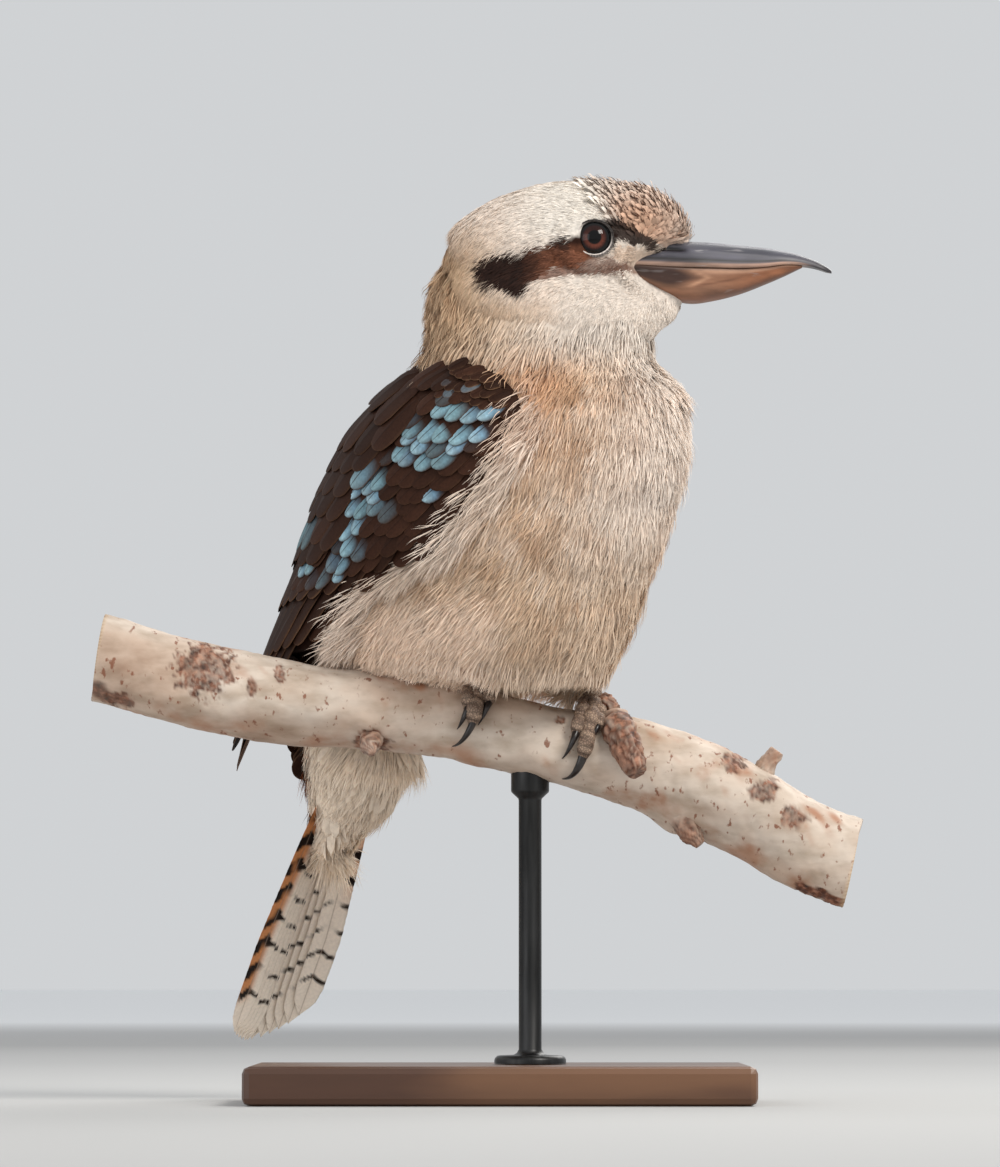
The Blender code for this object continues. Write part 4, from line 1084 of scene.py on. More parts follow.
def wing_walk(sign, height, angle, length, steps):
    """Walks down the folded wing from many roots at once towards the wing tip."""
    one = np.array([WING_SHOULDER[0]]), np.array([WING_SHOULDER[1]], dtype=float)
    two = np.array([WING_TIP[0]]), np.array([WING_TIP[1]], dtype=float)
    shoulder, tip = wing_spot(sign, *one)[0][0], wing_spot(sign, *two)[0][0]
    target = tip + unit(tip - shoulder) * WING_BEYOND
    stride = (length / steps)[:, None]
    walk = []
    for _ in range(steps + 1):
        place, outward = wing_spot(sign, height, angle)
        ahead = target - place
        ahead = unit(ahead - outward * np.sum(ahead * outward, axis=1, keepdims=True))
        walk.append((place, outward, ahead, core_rise(height, angle)))
        climb = (wing_spot(sign, height + 0.0005, angle)[0] - place) / 0.0005
        turn = wing_spot(sign, height, angle + 0.5)[0] - wing_spot(sign, height, angle - 0.5)[0]
        step = ahead * stride
        cc, tt = np.sum(climb * climb, axis=1), np.sum(turn * turn, axis=1)
        ct = np.sum(climb * turn, axis=1)
        cs, ts = np.sum(climb * step, axis=1), np.sum(turn * step, axis=1)
        det = cc * tt - ct * ct
        height = height + (cs * tt - ts * ct) / det
        angle = angle + (ts * cc - cs * ct) / det
    return walk


# Across a vane from edge to edge; along its straight part with the share of its breadth; and
# round its tip, in degrees
VANE_EDGES = np.array([-1.0, -0.84, -0.5, -0.07, 0.0, 0.07, 0.5, 0.84, 1.0])
VANE_STRAIGHT = np.array([0.0, 0.25, 0.5, 0.75, 1.0])
VANE_BREADTH = np.array([0.45, 0.82, 0.95, 1.0, 1.0])
VANE_ROUND = np.radians([22, 42, 58, 71, 81, 87])
VANE_STEPS = 50
VANE_THICK = 0.00018
VANE_CURL = 0.055
FRINGE = colour(0.60, 0.46, 0.35)
SKY_BASE = colour(0.49, 0.64, 0.74)
SKY_TIP = colour(0.68, 0.81, 0.86)
SKY_GREEN = colour(0.52, 0.68, 0.70)


def vanes(name, sign, roots, lengths, breadths, lifts, shades, draw, edge_pale=0.25, blue=None,
          surface=None, tilt=0.08, rise=0.0020, sink=0.0010, cells=24):
    """Broad feathers over a wing: curved plates with a shaft, pale fringes and blue tips."""
    height, angle = roots
    count = len(height)
    walk = (surface or wing_walk)(sign, height, angle, lengths, VANE_STEPS)
    cap = np.clip(0.58 * breadths / lengths, 0.03, 0.50)
    straight = VANE_STRAIGHT[:, None] * (1 - cap)
    shares = np.concatenate([straight, 1 - cap + cap * np.sin(VANE_ROUND)[:, None]])
    breadth = np.concatenate([VANE_BREADTH, np.cos(VANE_ROUND)])[:, None, None]
    low = np.minimum((shares * VANE_STEPS).astype(int), VANE_STEPS - 1)
    part = shares * VANE_STEPS - low
    each_one = np.arange(count)

    def along(k):
        track = np.array([row[k] for row in walk])
        t = part if track.ndim == 2 else part[..., None]
        return track[low, each_one] * (1 - t) + track[low + 1, each_one] * t

    place, outward, ahead, core = along(0), unit(along(1)), unit(along(2)), along(3)
    across = unit(np.cross(outward, ahead)) * (-sign)
    rows, edges = len(shares), len(VANE_EDGES)
    share = shares[:, :, None]
    edge = VANE_EDGES[None, None, :]
    fray = 1 + draw.normal(0, 0.025, (rows, count, edges)) * (np.abs(edge) > 0.8)
    reach = edge * breadth * breadths[None, :, None] / 2 * fray
    level = core[:, :, None] - sink + rise * share + lifts[None, :, None]
    level = level + tilt * reach + 0.0005 * breadth * (1 - edge**2)
    level = level - reach**2 / (2 * VANE_CURL)
    level = level + 0.00020 * np.exp(-((edge / 0.05) ** 2)) * (1 - 0.8 * share)
    level = level + 0.00008 * np.sin(edge * 9 + share * 6 + each_one[None, :, None])
    points = place[:, :, None] + across[:, :, None] * reach[..., None]
    points = points + outward[:, :, None] * level[..., None]
    back = points - outward[:, :, None] * VANE_THICK
    each = rows * edges
    points, back = (grid.transpose(1, 0, 2, 3).reshape(count, each, 3) for grid in (points, back))
    both = np.concatenate([points, back], axis=1)
    faces = plate_faces(rows, edges)
    triangles = (faces[None] + (np.arange(count) * each * 2)[:, None, None]).reshape(-1, 3)
    flat_edge = np.broadcast_to(edge, (rows, count, edges))
    flat_share = np.broadcast_to(share, (rows, count, edges))
    tint = np.broadcast_to(shades[None, :, None], (rows, count, edges, 3)).copy()
    tint *= (0.80 + 0.32 * flat_share)[..., None]
    tint *= (1 - 0.40 * np.exp(-((flat_edge / 0.06) ** 2)))[..., None]
    rim_row = np.clip(np.arange(rows) - (rows - 4), 0, 3)[:, None, None] / 3
    fringe = ease(0.80, 1.0, np.abs(flat_edge)) * ease(0.2, 0.6, flat_share)
    tint = blend(tint, FRINGE, np.maximum(fringe, rim_row) * edge_pale)
    if blue is not None:
        outer = np.abs(flat_edge)
        amount, reach_up = blue[None, :, None], (0.48 + 0.10 * draw.random(count))[None, :, None]
        amount = amount * ease(reach_up - 0.08, reach_up + 0.04, flat_share)
        amount = amount * (1 - 0.85 * rim_row**2)
        amount = amount * ease(0.01, 0.07, outer)
        # Painted shade between neighbouring feathers: less blue along each one's outer edges
        amount = amount * (1 - 0.45 * (outer > 0.8) - 0.50 * (outer > 0.95))
        sky = blend(SKY_BASE, SKY_TIP, ease(0.60, 0.95, flat_share))
        sky = blend(sky, SKY_GREEN, 0.7 * draw.random((1, count, 1)))
        amount = amount * (0.70 + 0.30 * draw.random((rows, count, edges)))
        sky = sky * draw.uniform(0.82, 1.12, (1, count, 1, 1))
        sky = sky * (1 - 0.10 * np.cos(flat_edge * 21)[..., None])
        tint = blend(tint, sky, amount)
    tint = tint.transpose(1, 0, 2, 3).reshape(count, each, 3)
    # The back face: the front's colours, darker as painted shade
    tint = np.concatenate([tint, tint * 0.9], axis=1)
    # One cell of the bake's map for each feather, both its faces side by side
    cell = 1.0 / cells
    column, line = np.arange(count) % cells, np.arange(count) // cells
    inner = np.stack(np.broadcast_arrays((VANE_EDGES + 1) / 2, shares.mean(axis=1)[:, None]),
                     axis=-1).reshape(each, 2)
    front = inner * [0.44, 0.92] + [0.03, 0.04]
    rear = inner * [0.44, 0.92] + [0.53, 0.04]
    corner = np.stack([column * cell, line * cell], axis=1)
    places = corner[:, None] + np.concatenate([front, rear])[None] * cell
    return solid_piece(name, both.reshape(-1, 3), triangles, tint.reshape(-1, 3),
                       places.reshape(-1, 2))


# The blue places of the wing in the photo's pixels: middle and radius
BLUE_SPOTS = [
    (479, 396, 7), (495, 402, 7), (479, 410, 10), (453, 416, 9), (481, 423, 11), (462, 423, 11),
    (443, 427, 10), (472, 434, 11), (426, 436, 10), (450, 436, 11), (459, 450, 13), (428, 453, 12),
    (406, 456, 8), (438, 467, 9), (407, 468, 10), (390, 480, 10), (376, 487, 8), (435, 492, 9),
    (384, 500, 9), (393, 506, 9), (366, 498, 7), (364, 511, 9), (371, 516, 9), (361, 529, 10),
    (318, 544, 6), (357, 554, 7), (366, 561, 7), (318, 568, 8), (311, 576, 8), (327, 575, 9),
    (338, 575, 9), (347, 575, 8),
]


def blue_of(height, angle):
    """How blue a covert is, from where its tip lies, alike on both wings."""
    u, v = pixel_of(wing_spot(-1, height, angle)[0])
    amount = np.zeros(len(u))
    for x, y, reach in BLUE_SPOTS:
        amount = np.maximum(amount, ease(1.28, 0.92, np.hypot(u - x, v - y) / reach))
    return amount


def covert_rows(draw, low, high, pitch, spacing, first=0.0, last=1.0):
    """Roots in offset rows over a share of the wing's breadth between two heights."""
    heights, angles = [], []
    for i, level in enumerate(np.arange(high, low, -pitch)):
        near, far = float(LEADING_EDGE.at(level)[0]), float(BACK_EDGE.at(level)[0])
        near, far = near + (far - near) * first, near + (far - near) * last
        edge = body_point(WING, np.full(40, level), np.linspace(near, far, 40))
        run = np.concatenate([[0], np.cumsum(np.linalg.norm(np.diff(edge, axis=0), axis=1))])
        count = max(int(run[-1] / spacing), 1)
        marks = (np.arange(count) + (0.25 if i % 2 else 0.75)) * run[-1] / count
        turns = np.interp(marks, run, np.linspace(near, far, 40))
        shares = (turns - near) / (far - near)
        slant = 0.008 * shares * ease(0.20, 0.26, level)
        heights.append(level + slant + draw.normal(0, pitch * 0.20, count))
        angles.append(turns + draw.normal(0, 0.9, count))
    return np.concatenate(heights), np.concatenate(angles)


def wing_place(sign, points):
    """The height and the angle, as the wing's tables count it, of points near a wing."""
    centre, forward, leftward, half_length, half_breadth = body_frame(WING, points[:, 2])
    out = points - centre
    turn = np.degrees(np.arctan2(np.sum(out * leftward, axis=1) / half_breadth,
                                 np.sum(out * forward, axis=1) / half_length)) * -sign
    return points[:, 2], np.where(turn > 0, turn - 360, turn)


def make_wing(side, sign, seed):
    draw = np.random.default_rng(seed)
    heights = np.linspace(0.1900, 0.3020, 40)
    columns = 26
    outer, inner = [], []
    for i, height in enumerate(heights):
        near, far = float(LEADING_EDGE.at(height)[0]), float(BACK_EDGE.at(height)[0])
        turns = np.linspace(near, far, columns)
        place, outward = wing_spot(sign, np.full(columns, height), turns)
        end = min(1.0, (len(heights) - 1 - i) / 7 + 0.25, i / 10 + 0.35)
        thick = core_rise(np.full(columns, height), turns) * end * 0.8
        outer.append(place + outward * thick[:, None])
        inner.append(place - outward * 0.003)
    rings = [np.concatenate([a, b[::-1]]) for a, b in zip(outer, inner)]
    core = new_mesh("wing_core_" + side, *loft(rings))
    put_colours(core.data, "tint", np.tile(MANTLE * 0.6, (len(core.data.vertices), 1)))
    dress(core, VANES, "wing_" + side, slot="wing_feathers")

    # Each kind: name, lowest and highest roots, row and feather spacing, share of the wing's
    # breadth, length, breadth, height above the core, pale fringe, and whether it bears blue
    kinds = [
        ("scapulars", 0.2360, 0.2965, 0.0092, 0.0104, 0.40, 1.0, 0.0265, 0.0150, 0.0014,
         0.16, True),
        ("coverts", 0.2240, 0.2945, 0.0064, 0.0070, 0.0, 0.52, 0.0170, 0.0096, 0.0006,
         0.12, True),
        ("shoulder", 0.2850, 0.2975, 0.0038, 0.0046, 0.0, 0.34, 0.0086, 0.0058, 0.0004,
         0.60, False),
    ]
    for (kind, low, high, pitch, spacing, first, last, length, breadth, lift, edge_pale,
         bears_blue) in kinds:
        height, angle = covert_rows(draw, low, high, pitch, spacing, first, last)
        order = np.argsort(-height)
        height, angle = height[order], angle[order]
        count = len(height)
        lengths = length * draw.uniform(0.93, 1.07, count)
        breadths = breadth * draw.uniform(0.93, 1.07, count)
        lifts = draw.normal(0, 0.00010, count) + lift
        if kind == "coverts":
            lifts = lifts + 0.0006 * ease(0.252, 0.240, height) - 0.0003
        tips = wing_walk(sign, height, angle, lengths * 0.8, 10)[-1][0]
        amount = blue_of(*wing_place(sign, tips)) if bears_blue else np.zeros(count)
        amount = amount * draw.uniform(0.85, 1.0, count)
        shade = np.array([MANTLE]) * draw.uniform(0.60, 1.10, count)[:, None]
        # Painted shade: the feathers darker towards the bird's back
        shade = shade * (1 - 0.35 * ease(-120, -150, angle))[:, None]
        if kind == "shoulder":
            grey = (draw.random(count) > 0.70) * 0.5 * ease(0.298, 0.295, height)
            shade = blend(shade, colour(0.45, 0.52, 0.56), grey)
        if kind == "scapulars":
            amount = amount * ease(0.80, 0.55, (angle + 90) / -84)
        piece = vanes(f"wing_{kind}_{side}", sign, (height, angle), lengths, breadths, lifts,
                      shade, draw, edge_pale, blue=amount)
        dress(piece, VANES, "wing_" + side, slot="wing_feathers")

    # Greater coverts and the long feathers that reach the wing tip. Each row: its ends' heights
    # and angles, its number of feathers, their first and last lengths, breadth and height
    rows = [
        ((0.2290, -94), (0.2400, -166), 12, 0.026, 0.044, 0.0110, 0.0003),
        ((0.2200, -106), (0.2290, -165), 11, 0.040, 0.066, 0.0112, -0.0001),
        ((0.2100, -120), (0.2150, -163), 9, 0.064, 0.062, 0.0112, -0.0005),
        ((0.2060, -126), (0.2050, -160), 8, 0.092, 0.054, 0.0108, -0.0009),
    ]
    gathered = []
    for (low, near), (high, far), number, first, last, breadth, lift in rows:
        share = np.linspace(0, 1, number)
        gathered.append((low + (high - low) * share, near + (far - near) * share,
                         (first + (last - first) * share) * draw.uniform(0.97, 1.03, number),
                         np.full(number, breadth),
                         lift + 0.0008 * share + draw.normal(0, 0.0001, number)))
    height, angle, lengths, breadths, lifts = map(np.concatenate, zip(*gathered))
    shade = np.array([MANTLE]) * draw.uniform(0.55, 0.90, len(height))[:, None]
    flight = vanes("wing_flight_" + side, sign, (height, angle), lengths, breadths, lifts,
                   shade, draw, edge_pale=0.40, cells=7)
    dress(flight, VANES, "wing_" + side, slot="wing_feathers")


make_wing("right", -1, 41)
make_wing("left", 1, 42)


def back_walk(sign, height, angle, length, steps):
    """Walks down the bird's back from many roots at once."""
    stride = length / steps
    walk = []
    for _ in range(steps + 1):
        place, outward = wing_spot(sign, height, angle)
        below = wing_spot(sign, height - 0.0010, angle)[0]
        ahead = unit(below - place)
        rise = 0.0030 + 0.0012 * np.cos(np.radians(angle + 180) * 2)
        walk.append((place, outward, ahead, rise))
        height = height - stride * -ahead[:, 2]
    return walk


def make_mantle():
    """Brown feathers down the back, between the wings."""
    draw = np.random.default_rng(51)
    height, angle = [], []
    for i, level in enumerate(np.linspace(0.304, 0.180, 15)):
        turns = np.linspace(-214, -146, 8) + (4 if i % 2 else 0)
        height.append(np.full(len(turns), level) + draw.normal(0, 0.0007, len(turns)))
        angle.append(turns)
    height, angle = np.concatenate(height), np.concatenate(angle)
    count = len(height)
    shade = np.array([MANTLE]) * draw.uniform(0.7, 1.2, count)[:, None]
    rump = ease(0.225, 0.195, height)
    shade = blend(shade, colour(0.40, 0.25, 0.17), rump * 0.5)
    lengths = (0.020 + 0.008 * rump) * draw.uniform(0.9, 1.1, count)
    mantle = vanes("mantle", -1, (height, angle), lengths, np.full(count, 0.0125),
                   draw.normal(0, 0.00015, count), shade, draw, surface=back_walk, tilt=0.0,
                   rise=0.0030, sink=0.0016, cells=12)
    dress(mantle, VANES, slot="wing_feathers")


make_mantle()


# Tail
TAIL_EDGES = np.array([-1.0, -0.8, -0.55, -0.3, -0.08, 0.0, 0.08, 0.3, 0.55, 0.8, 1.0])
TAIL_BAR = 12.5
TAIL_CHARTS = 24
TAIL_RUFOUS = colour(0.70, 0.43, 0.26)
TAIL_WHITE = colour(0.95, 0.92, 0.88)
TAIL_BLACK = colour(0.13, 0.085, 0.06)
UNDER_WHITE = colour(0.99, 0.935, 0.87)
UNDER_RUFOUS = colour(0.83, 0.56, 0.36)
UNDER_BLACK = colour(0.12, 0.08, 0.06)
QUILL = colour(0.66, 0.58, 0.52)


def make_tail():
    """Twelve tail feathers with their bars, in tiers with the middle pair on top."""
    draw = np.random.default_rng(61)
    root, ahead, leftward, upper = tail_frame()
    rows = np.concatenate([np.linspace(0, 0.92, 106), np.linspace(0.93, 1.0, 12)])
    edges = TAIL_EDGES
    width = np.interp(rows, [0, 0.35, 0.70, 0.90, 0.96, 0.985, 1.0],
                      [0.5, 0.85, 1.0, 0.97, 0.80, 0.55, 0.12])
    points, faces, tints, places = [], [], [], []
    each = len(rows) * len(edges)
    plate = plate_faces(len(rows), len(edges))
    serial = 0
    for index in range(6):
        for side in (1, -1):
            layer = index + (index > 0) + (side < 0)
            shortening = TAIL_STEPS[index] * (1.0 if side > 0 else 0.5)
            length = TAIL_LENGTH - shortening
            along = RECTRIX_START + (length - RECTRIX_START) * rows[:, None]
            opened = 0.45 + 0.55 * np.minimum(along / RECTRIX_FAN, 1.0)
            spread = RECTRIX_SPACING * (index + 0.5) * opened
            torn = draw.normal(0, 0.012, (len(rows), len(edges)))
            fray = 1 + torn * (np.abs(edges[None]) > 0.9)
            reach = edges[None] * width[:, None] * RECTRIX_BREADTH / 2 * fray
            across = side * spread + reach
            level = TAIL_LIFT - layer * LAYER_STEP + 0.0004 * (1 - edges[None] ** 2)
            shaft = 0.0002 * np.exp(-((edges[None] / 0.06) ** 2))
            level = level - across**2 / (2 * TAIL_BEND) + shaft
            along = along - np.abs(edges[None]) ** 2.4 * 0.0035 * rows[:, None] ** 6
            grid = (root + ahead * along[..., None] + leftward * across[..., None]
                    + upper * (level + 0 * across)[..., None]).reshape(-1, 3)
            under = grid - upper * 0.0003
            points += [grid, under]
            faces.append(plate + serial * each * 2)
            # Rufous with black bars on the middle pairs, white with thin bars on the outer ones
            outer_web = edges[None] * side
            pale = ease(1.0, 3.2, index + 0 * rows)[:, None] * np.ones_like(across)
            pale = pale * ease(0.75, 0.30, outer_web * (1 if index < 5 else 0.55))
            from_tip = (length - along) / 0.001
            pale = np.maximum(pale, ease(17, 10, from_tip + draw.normal(0, 0.6, (1, len(edges)))))
            phase = from_tip / TAIL_BAR + 0.05 * np.sin(outer_web * 4 + index)
            phase = phase + draw.uniform(-0.05, 0.05)
            phase = phase + 0.10 * np.abs(edges[None]) + 0.015 * np.sin(from_tip * 3.1)
            wave = np.abs((phase % 1.0) - 0.5) * 2
            thick = 0.50 - 0.34 * pale
            bar = ease(thick + 0.06, thick - 0.06, wave) * ease(9, 15, from_tip)
            short = ease(0.9, 0.6, np.abs(edges[None])) * 0.92 + 0.05
            bar = bar * np.where(pale > 0.5, short, 1.0)
            top_shade = blend(blend(TAIL_RUFOUS, TAIL_WHITE, pale), TAIL_BLACK, bar)
            # Seen from below: barred rufous and black along the right edge, thinly along the left
            fan = across / (RECTRIX_SPACING * 5.5 + RECTRIX_BREADTH / 2)
            seam = 0.36 + 0.30 * ease(110, 25, from_tip)
            inward = np.where(fan < 0, ease(seam - 0.10, seam + 0.12, -fan),
                              ease(0.62, 0.84, fan) * ease(50, 80, from_tip))
            inward = inward * ease(12, 24, from_tip)
            thick = 0.16 + 0.40 * inward
            low_bar = ease(thick + 0.06, thick - 0.06, wave) * ease(10, 18, from_tip)
            broken = waves(grid, 0.012, 71 + serial).reshape(low_bar.shape)
            low_bar = low_bar * np.clip(0.72 + broken + 0.5 * inward, 0.10, 1.0)
            low_shade = blend(blend(UNDER_WHITE, UNDER_RUFOUS, inward), UNDER_BLACK, low_bar)
            quill = np.exp(-((edges[None, :, None] / 0.05) ** 2))
            top_shade = top_shade * (1 - 0.4 * quill)
            low_shade = blend(low_shade, QUILL, 0.6 * quill[..., 0])
            tints += [top_shade.reshape(-1, 3), low_shade.reshape(-1, 3)]
            plan = np.stack(np.broadcast_arrays((edges[None] + 1) / 2, rows[:, None]), axis=-1)
            for chart in (2 * serial, 2 * serial + 1):
                corner = [chart / TAIL_CHARTS + 0.003, 0.02]
                places.append(plan.reshape(-1, 2) * [0.034, 0.96] + corner)
            serial += 1
    rectrices = solid_piece("tail_rectrices", np.concatenate(points), np.concatenate(faces),
                            np.concatenate(tints), np.concatenate(places))
    dress(rectrices, TAIL_VANES, "tail", slot="tail_feathers")


make_tail()


# Eyes and lids
IRIS_DARK, IRIS_LIT = colour(0.15, 0.07, 0.055), colour(0.43, 0.225, 0.17)
LID_DARK, LID_SILVER = colour(0.16, 0.12, 0.10), colour(0.90, 0.86, 0.83)
# The lid's folds, inwards first: radius, thickness, place along the eye's axis and tone
LID_RINGS = [
    (0.0073, 0.00030, 0.0002, 0.60),
    (0.0078, 0.00055, -0.0001, 0.22),
    (0.0088, 0.00080, -0.0006, 0.18),
]
LID_STEPS, LID_SIDES = 120, 10


def make_eye(side, sign):
    x, out, height = EYE_PLACE
    centre = np.array([x, HEAD_MIDLINE + sign * (out - 0.0006), height])
    rings = []
    tilts = np.concatenate([np.linspace(0.01, 1.0, 36), np.linspace(1.05, 3.1, 12)])
    turns = circle(64)
    spread = []
    for tilt in tilts:
        radius = EYE_RADIUS * (1 + 0.035 * math.exp(-((tilt / 0.62) ** 2)))
        ring = centre + radius * np.stack([math.sin(tilt) * np.cos(turns),
                                           sign * math.cos(tilt) + 0 * turns,
                                           math.sin(tilt) * np.sin(turns)], axis=1)
        rings.append(ring)
        spread += [math.sin(tilt) * EYE_RADIUS if tilt < 1.57 else EYE_RADIUS] * 64
    points, faces = loft(rings)
    eye = new_mesh("eyeball_" + side, points, faces)
    spread = np.array(spread + [0.0, EYE_RADIUS])
    turn = np.concatenate([np.tile(turns, len(tilts)), [0, 0]])
    # Painted light: the iris lighter on its lower side near the pupil, where light through the
    # cornea falls
    lower = 0.5 - 0.5 * np.sin(turn)
    iris = blend(IRIS_DARK, IRIS_LIT, lower * ease(0.0052, 0.0034, spread))
    fibre = 1 + 0.16 * np.sin(turn * 23 + 2 * np.sin(turn * 5)) * ease(0.0026, 0.0040, spread)
    shade = blend(iris * fibre[:, None], np.full(3, 0.002), ease(0.0031, 0.0026, spread))
    shade = blend(shade, np.full(3, 0.004), ease(0.0046, 0.0055, spread))
    put_colours(eye.data, "tint", shade)
    made, nodes, links, shader = new_material("eye_" + side, 0.06, 0.12)
    toned(nodes, links, shader, noise_node(nodes, links, 2200.0, 2.0), 0.82, 1.15)
    shader.inputs["Coat Weight"].default_value = 0.3
    shader.inputs["Coat Roughness"].default_value = 0.02
    dress(eye, made, "eye_" + side, slot="eye")

    # A wrinkled lid rim that closes on the eyeball
    parts, tints = [], []
    for ring_radius, thick, shift, shade in LID_RINGS:
        around = circle(LID_STEPS)
        wrinkle = 1 + 0.16 * np.sin(around * 41) + 0.10 * np.sin(around * 17 + 1)
        depth = math.sqrt(EYE_RADIUS**2 - ring_radius**2) + 0.0010 + shift
        across = circle(LID_SIDES)[:, None]
        rings = []
        for a, w in zip(around, wrinkle):
            direction = np.array([math.cos(a), 0, math.sin(a)])
            slit = 1 - 0.045 * abs(math.sin(a)) ** 3
            middle = centre + direction * ring_radius * slit + np.array([0, sign * depth, 0])
            rings.append(middle + thick * w * (np.cos(across) * direction
                                               + np.sin(across) * np.array([0, sign, 0])))
        faces = []
        for i in range(LID_STEPS):
            one, two = i * LID_SIDES, (i + 1) % LID_STEPS * LID_SIDES
            for j in range(LID_SIDES):
                k = (j + 1) % LID_SIDES
                faces.append((one + j, one + k, two + k, two + j))
        parts.append((np.concatenate(rings), faces))
        silver = ease(0.1, -0.8, np.sin(around)) * (0.6 + 0.4 * np.sin(around * 41)) * 0.45
        if shade > 0.5:
            silver = ease(0.75, -0.2, np.sin(around + 0.5))
        base = np.full((LID_STEPS * LID_SIDES, 3), LID_DARK * min(shade * 3, 1.0))
        tints.append(blend(base, LID_SILVER, np.repeat(silver, LID_SIDES)))
    lid = new_mesh("lid_" + side, *merged(parts))
    put_colours(lid.data, "tint", np.concatenate(tints))
    made, nodes, links, shader = new_material("lid_" + side, 0.45, 0.4)
    grain = noise_node(nodes, links, 1500.0)
    toned(nodes, links, shader, grain, 0.7, 1.2)
    bump_node(nodes, links, shader, grain, 0.5, 0.0003)
    dress(lid, made, slot="head_feathers")


for side, sign in (("right", -1), ("left", 1)):
    make_eye(side, sign)


# Bill
BILL_RINGS, BILL_SIDES = 110, 48
BILL_LIP = np.array([-0.9, -0.45, 0.0, 0.45, 0.9])
NOSTRIL = 0.0722


def upper_tint(x, side, slit):
    """The upper bill's colours on one ring: side runs from the mouth's edge to the ridge."""
    # seam is a painted shadow: a near-black line along the upper bill, just above its pale edge
    seam = 0.95 * np.exp(-(((side - 0.25) / 0.065) ** 2)) * ease(0.128, 0.118, x)
    return painted(colour(0.30, 0.295, 0.335) * np.ones((len(side), 1)), [
        (colour(0.42, 0.42, 0.45), 0.6 * ease(0.5, 0.9, side)),
        (colour(0.22, 0.20, 0.20), ease(0.115, 0.138, x) * 0.7 + 0 * side),
        (colour(0.72, 0.58, 0.50), ease(0.20, 0.08, side) * ease(0.132, 0.122, x) * 0.85),
        (colour(0.07, 0.05, 0.05), seam),
        (colour(0.03, 0.02, 0.02), np.append(slit, np.zeros(len(BILL_LIP))) ** 0.6),
    ])


def lower_tint(x, side):
    """The lower bill's colours on one ring, with the dark wedge at its root."""
    tip_of = 0.0860 - 0.030 * np.abs(side - 0.30)
    wedge = ease(0.0020, -0.0090, x - tip_of) * ease(0.78, 0.52, side) * ease(0.03, 0.09, side)
    rim = np.exp(-(((x - tip_of - 0.0010) / 0.0016) ** 2)) * ease(0.62, 0.50, side)
    crease = np.exp(-(((side - 0.50 + 8 * (x - 0.088)) / 0.035) ** 2))
    crease = crease * ease(0.080, 0.084, x) * ease(0.102, 0.096, x)
    return painted(colour(0.60, 0.43, 0.33) * np.ones((len(side), 1)), [
        (colour(0.56, 0.36, 0.245), ease(0.085, 0.112, x) + 0 * side),
        (colour(0.40, 0.245, 0.17), 0.7 * ease(0.60, 0.95, side)),
        (colour(0.72, 0.56, 0.46), ease(0.30, 0.10, side) * ease(0.070, 0.095, x)),
        (colour(0.22, 0.14, 0.12), 0.95 * wedge),
        (colour(0.80, 0.62, 0.50), 0.55 * rim),
        (colour(0.35, 0.20, 0.13), 0.6 * crease),
        (colour(0.20, 0.12, 0.09), 0.85 * ease(0.08, 0.0, side)),
    ])


def make_bill(name, rows, keel, node):
    """One half of the bill, flat along the mouth, ridged along its outer edge."""
    profile = Profile(rows)
    first, last = rows[0][0], rows[-1][0]
    xs = first + (last - first) * np.linspace(0, 1, BILL_RINGS) ** 0.9
    a = np.linspace(0, math.pi, BILL_SIDES)
    arch = np.abs(np.cos(a)) ** 0.85 * np.sign(np.cos(a))
    climb = np.sin(a) ** 0.85
    side = np.concatenate([climb, np.zeros(len(BILL_LIP))])
    rings, tints = [], []
    for x in xs:
        upper, lower, half = profile.at(x)
        outer, inner = (upper, lower) if keel > 0 else (lower, upper)
        drawn = 1 - 0.05 * np.exp(-(((climb - 0.42) / 0.16) ** 2)) * ease(0.118, 0.100, x)
        y = half * arch * drawn
        z = inner + (outer - inner) * climb
        if keel > 0:
            z = z + 0.0003 * np.exp(-((np.cos(a) / 0.16) ** 2)) * ease(0.130, 0.110, x)
            slit = np.exp(-(((x - NOSTRIL) / 0.0050) ** 4))
            slit = slit * np.exp(-(((climb - 0.62) / 0.075) ** 2))
            y = y * (1 - 0.14 * slit)
            z = z - 0.0006 * slit
        y = np.append(y, half * BILL_LIP)
        z = np.append(z, np.full(len(BILL_LIP), inner - keel * 0.0002))
        rings.append(np.stack([np.full(len(side), x), HEAD_MIDLINE + y, z], axis=1))
        tints.append(upper_tint(x, side, slit) if keel > 0 else lower_tint(x, side))
    points, faces = loft(rings)
    bill = new_mesh("beak_" + name, points, faces)
    tints = np.concatenate([*tints, tints[0][:1], tints[-1][:1]])
    put_colours(bill.data, "tint", tints)
    made, nodes, links, shader = new_material("beak_" + name, 0.38, 0.5)
    grain = noise_node(nodes, links, 130.0, 8.0, (0.35, 1.0, 1.6))
    tone = ramp_node(nodes, links, grain, [(0.30, 0.62), (0.5, 0.95), (0.72, 1.45)])
    worn = mix_node(nodes, links, "MULTIPLY", 1.0, attribute_node(nodes, "tint"), tone)
    scratches = noise_node(nodes, links, 260.0, 3.0, (0.25, 1.0, 2.0))
    marks = ramp_node(nodes, links, scratches, [(0.63, 0.0), (0.70, 0.55 if keel > 0 else 0.2)])
    links.new(mix_node(nodes, links, "MIX", marks, worn, colour(0.68, 0.66, 0.66)),
              shader.inputs["Base Color"])
    rough = ramp_node(nodes, links, grain, [(0.3, 0.28), (0.7, 0.52)])
    links.new(rough, shader.inputs["Roughness"])
    bump_node(nodes, links, shader, grain, 0.35, 0.0004)
    dress(bill, made, node, slot="upper_bill" if keel > 0 else "lower_bill")


make_bill("upper", UPPER_BILL_ROWS, 1, "bill_upper")
make_bill("lower", LOWER_BILL_ROWS, -1, "bill_lower")


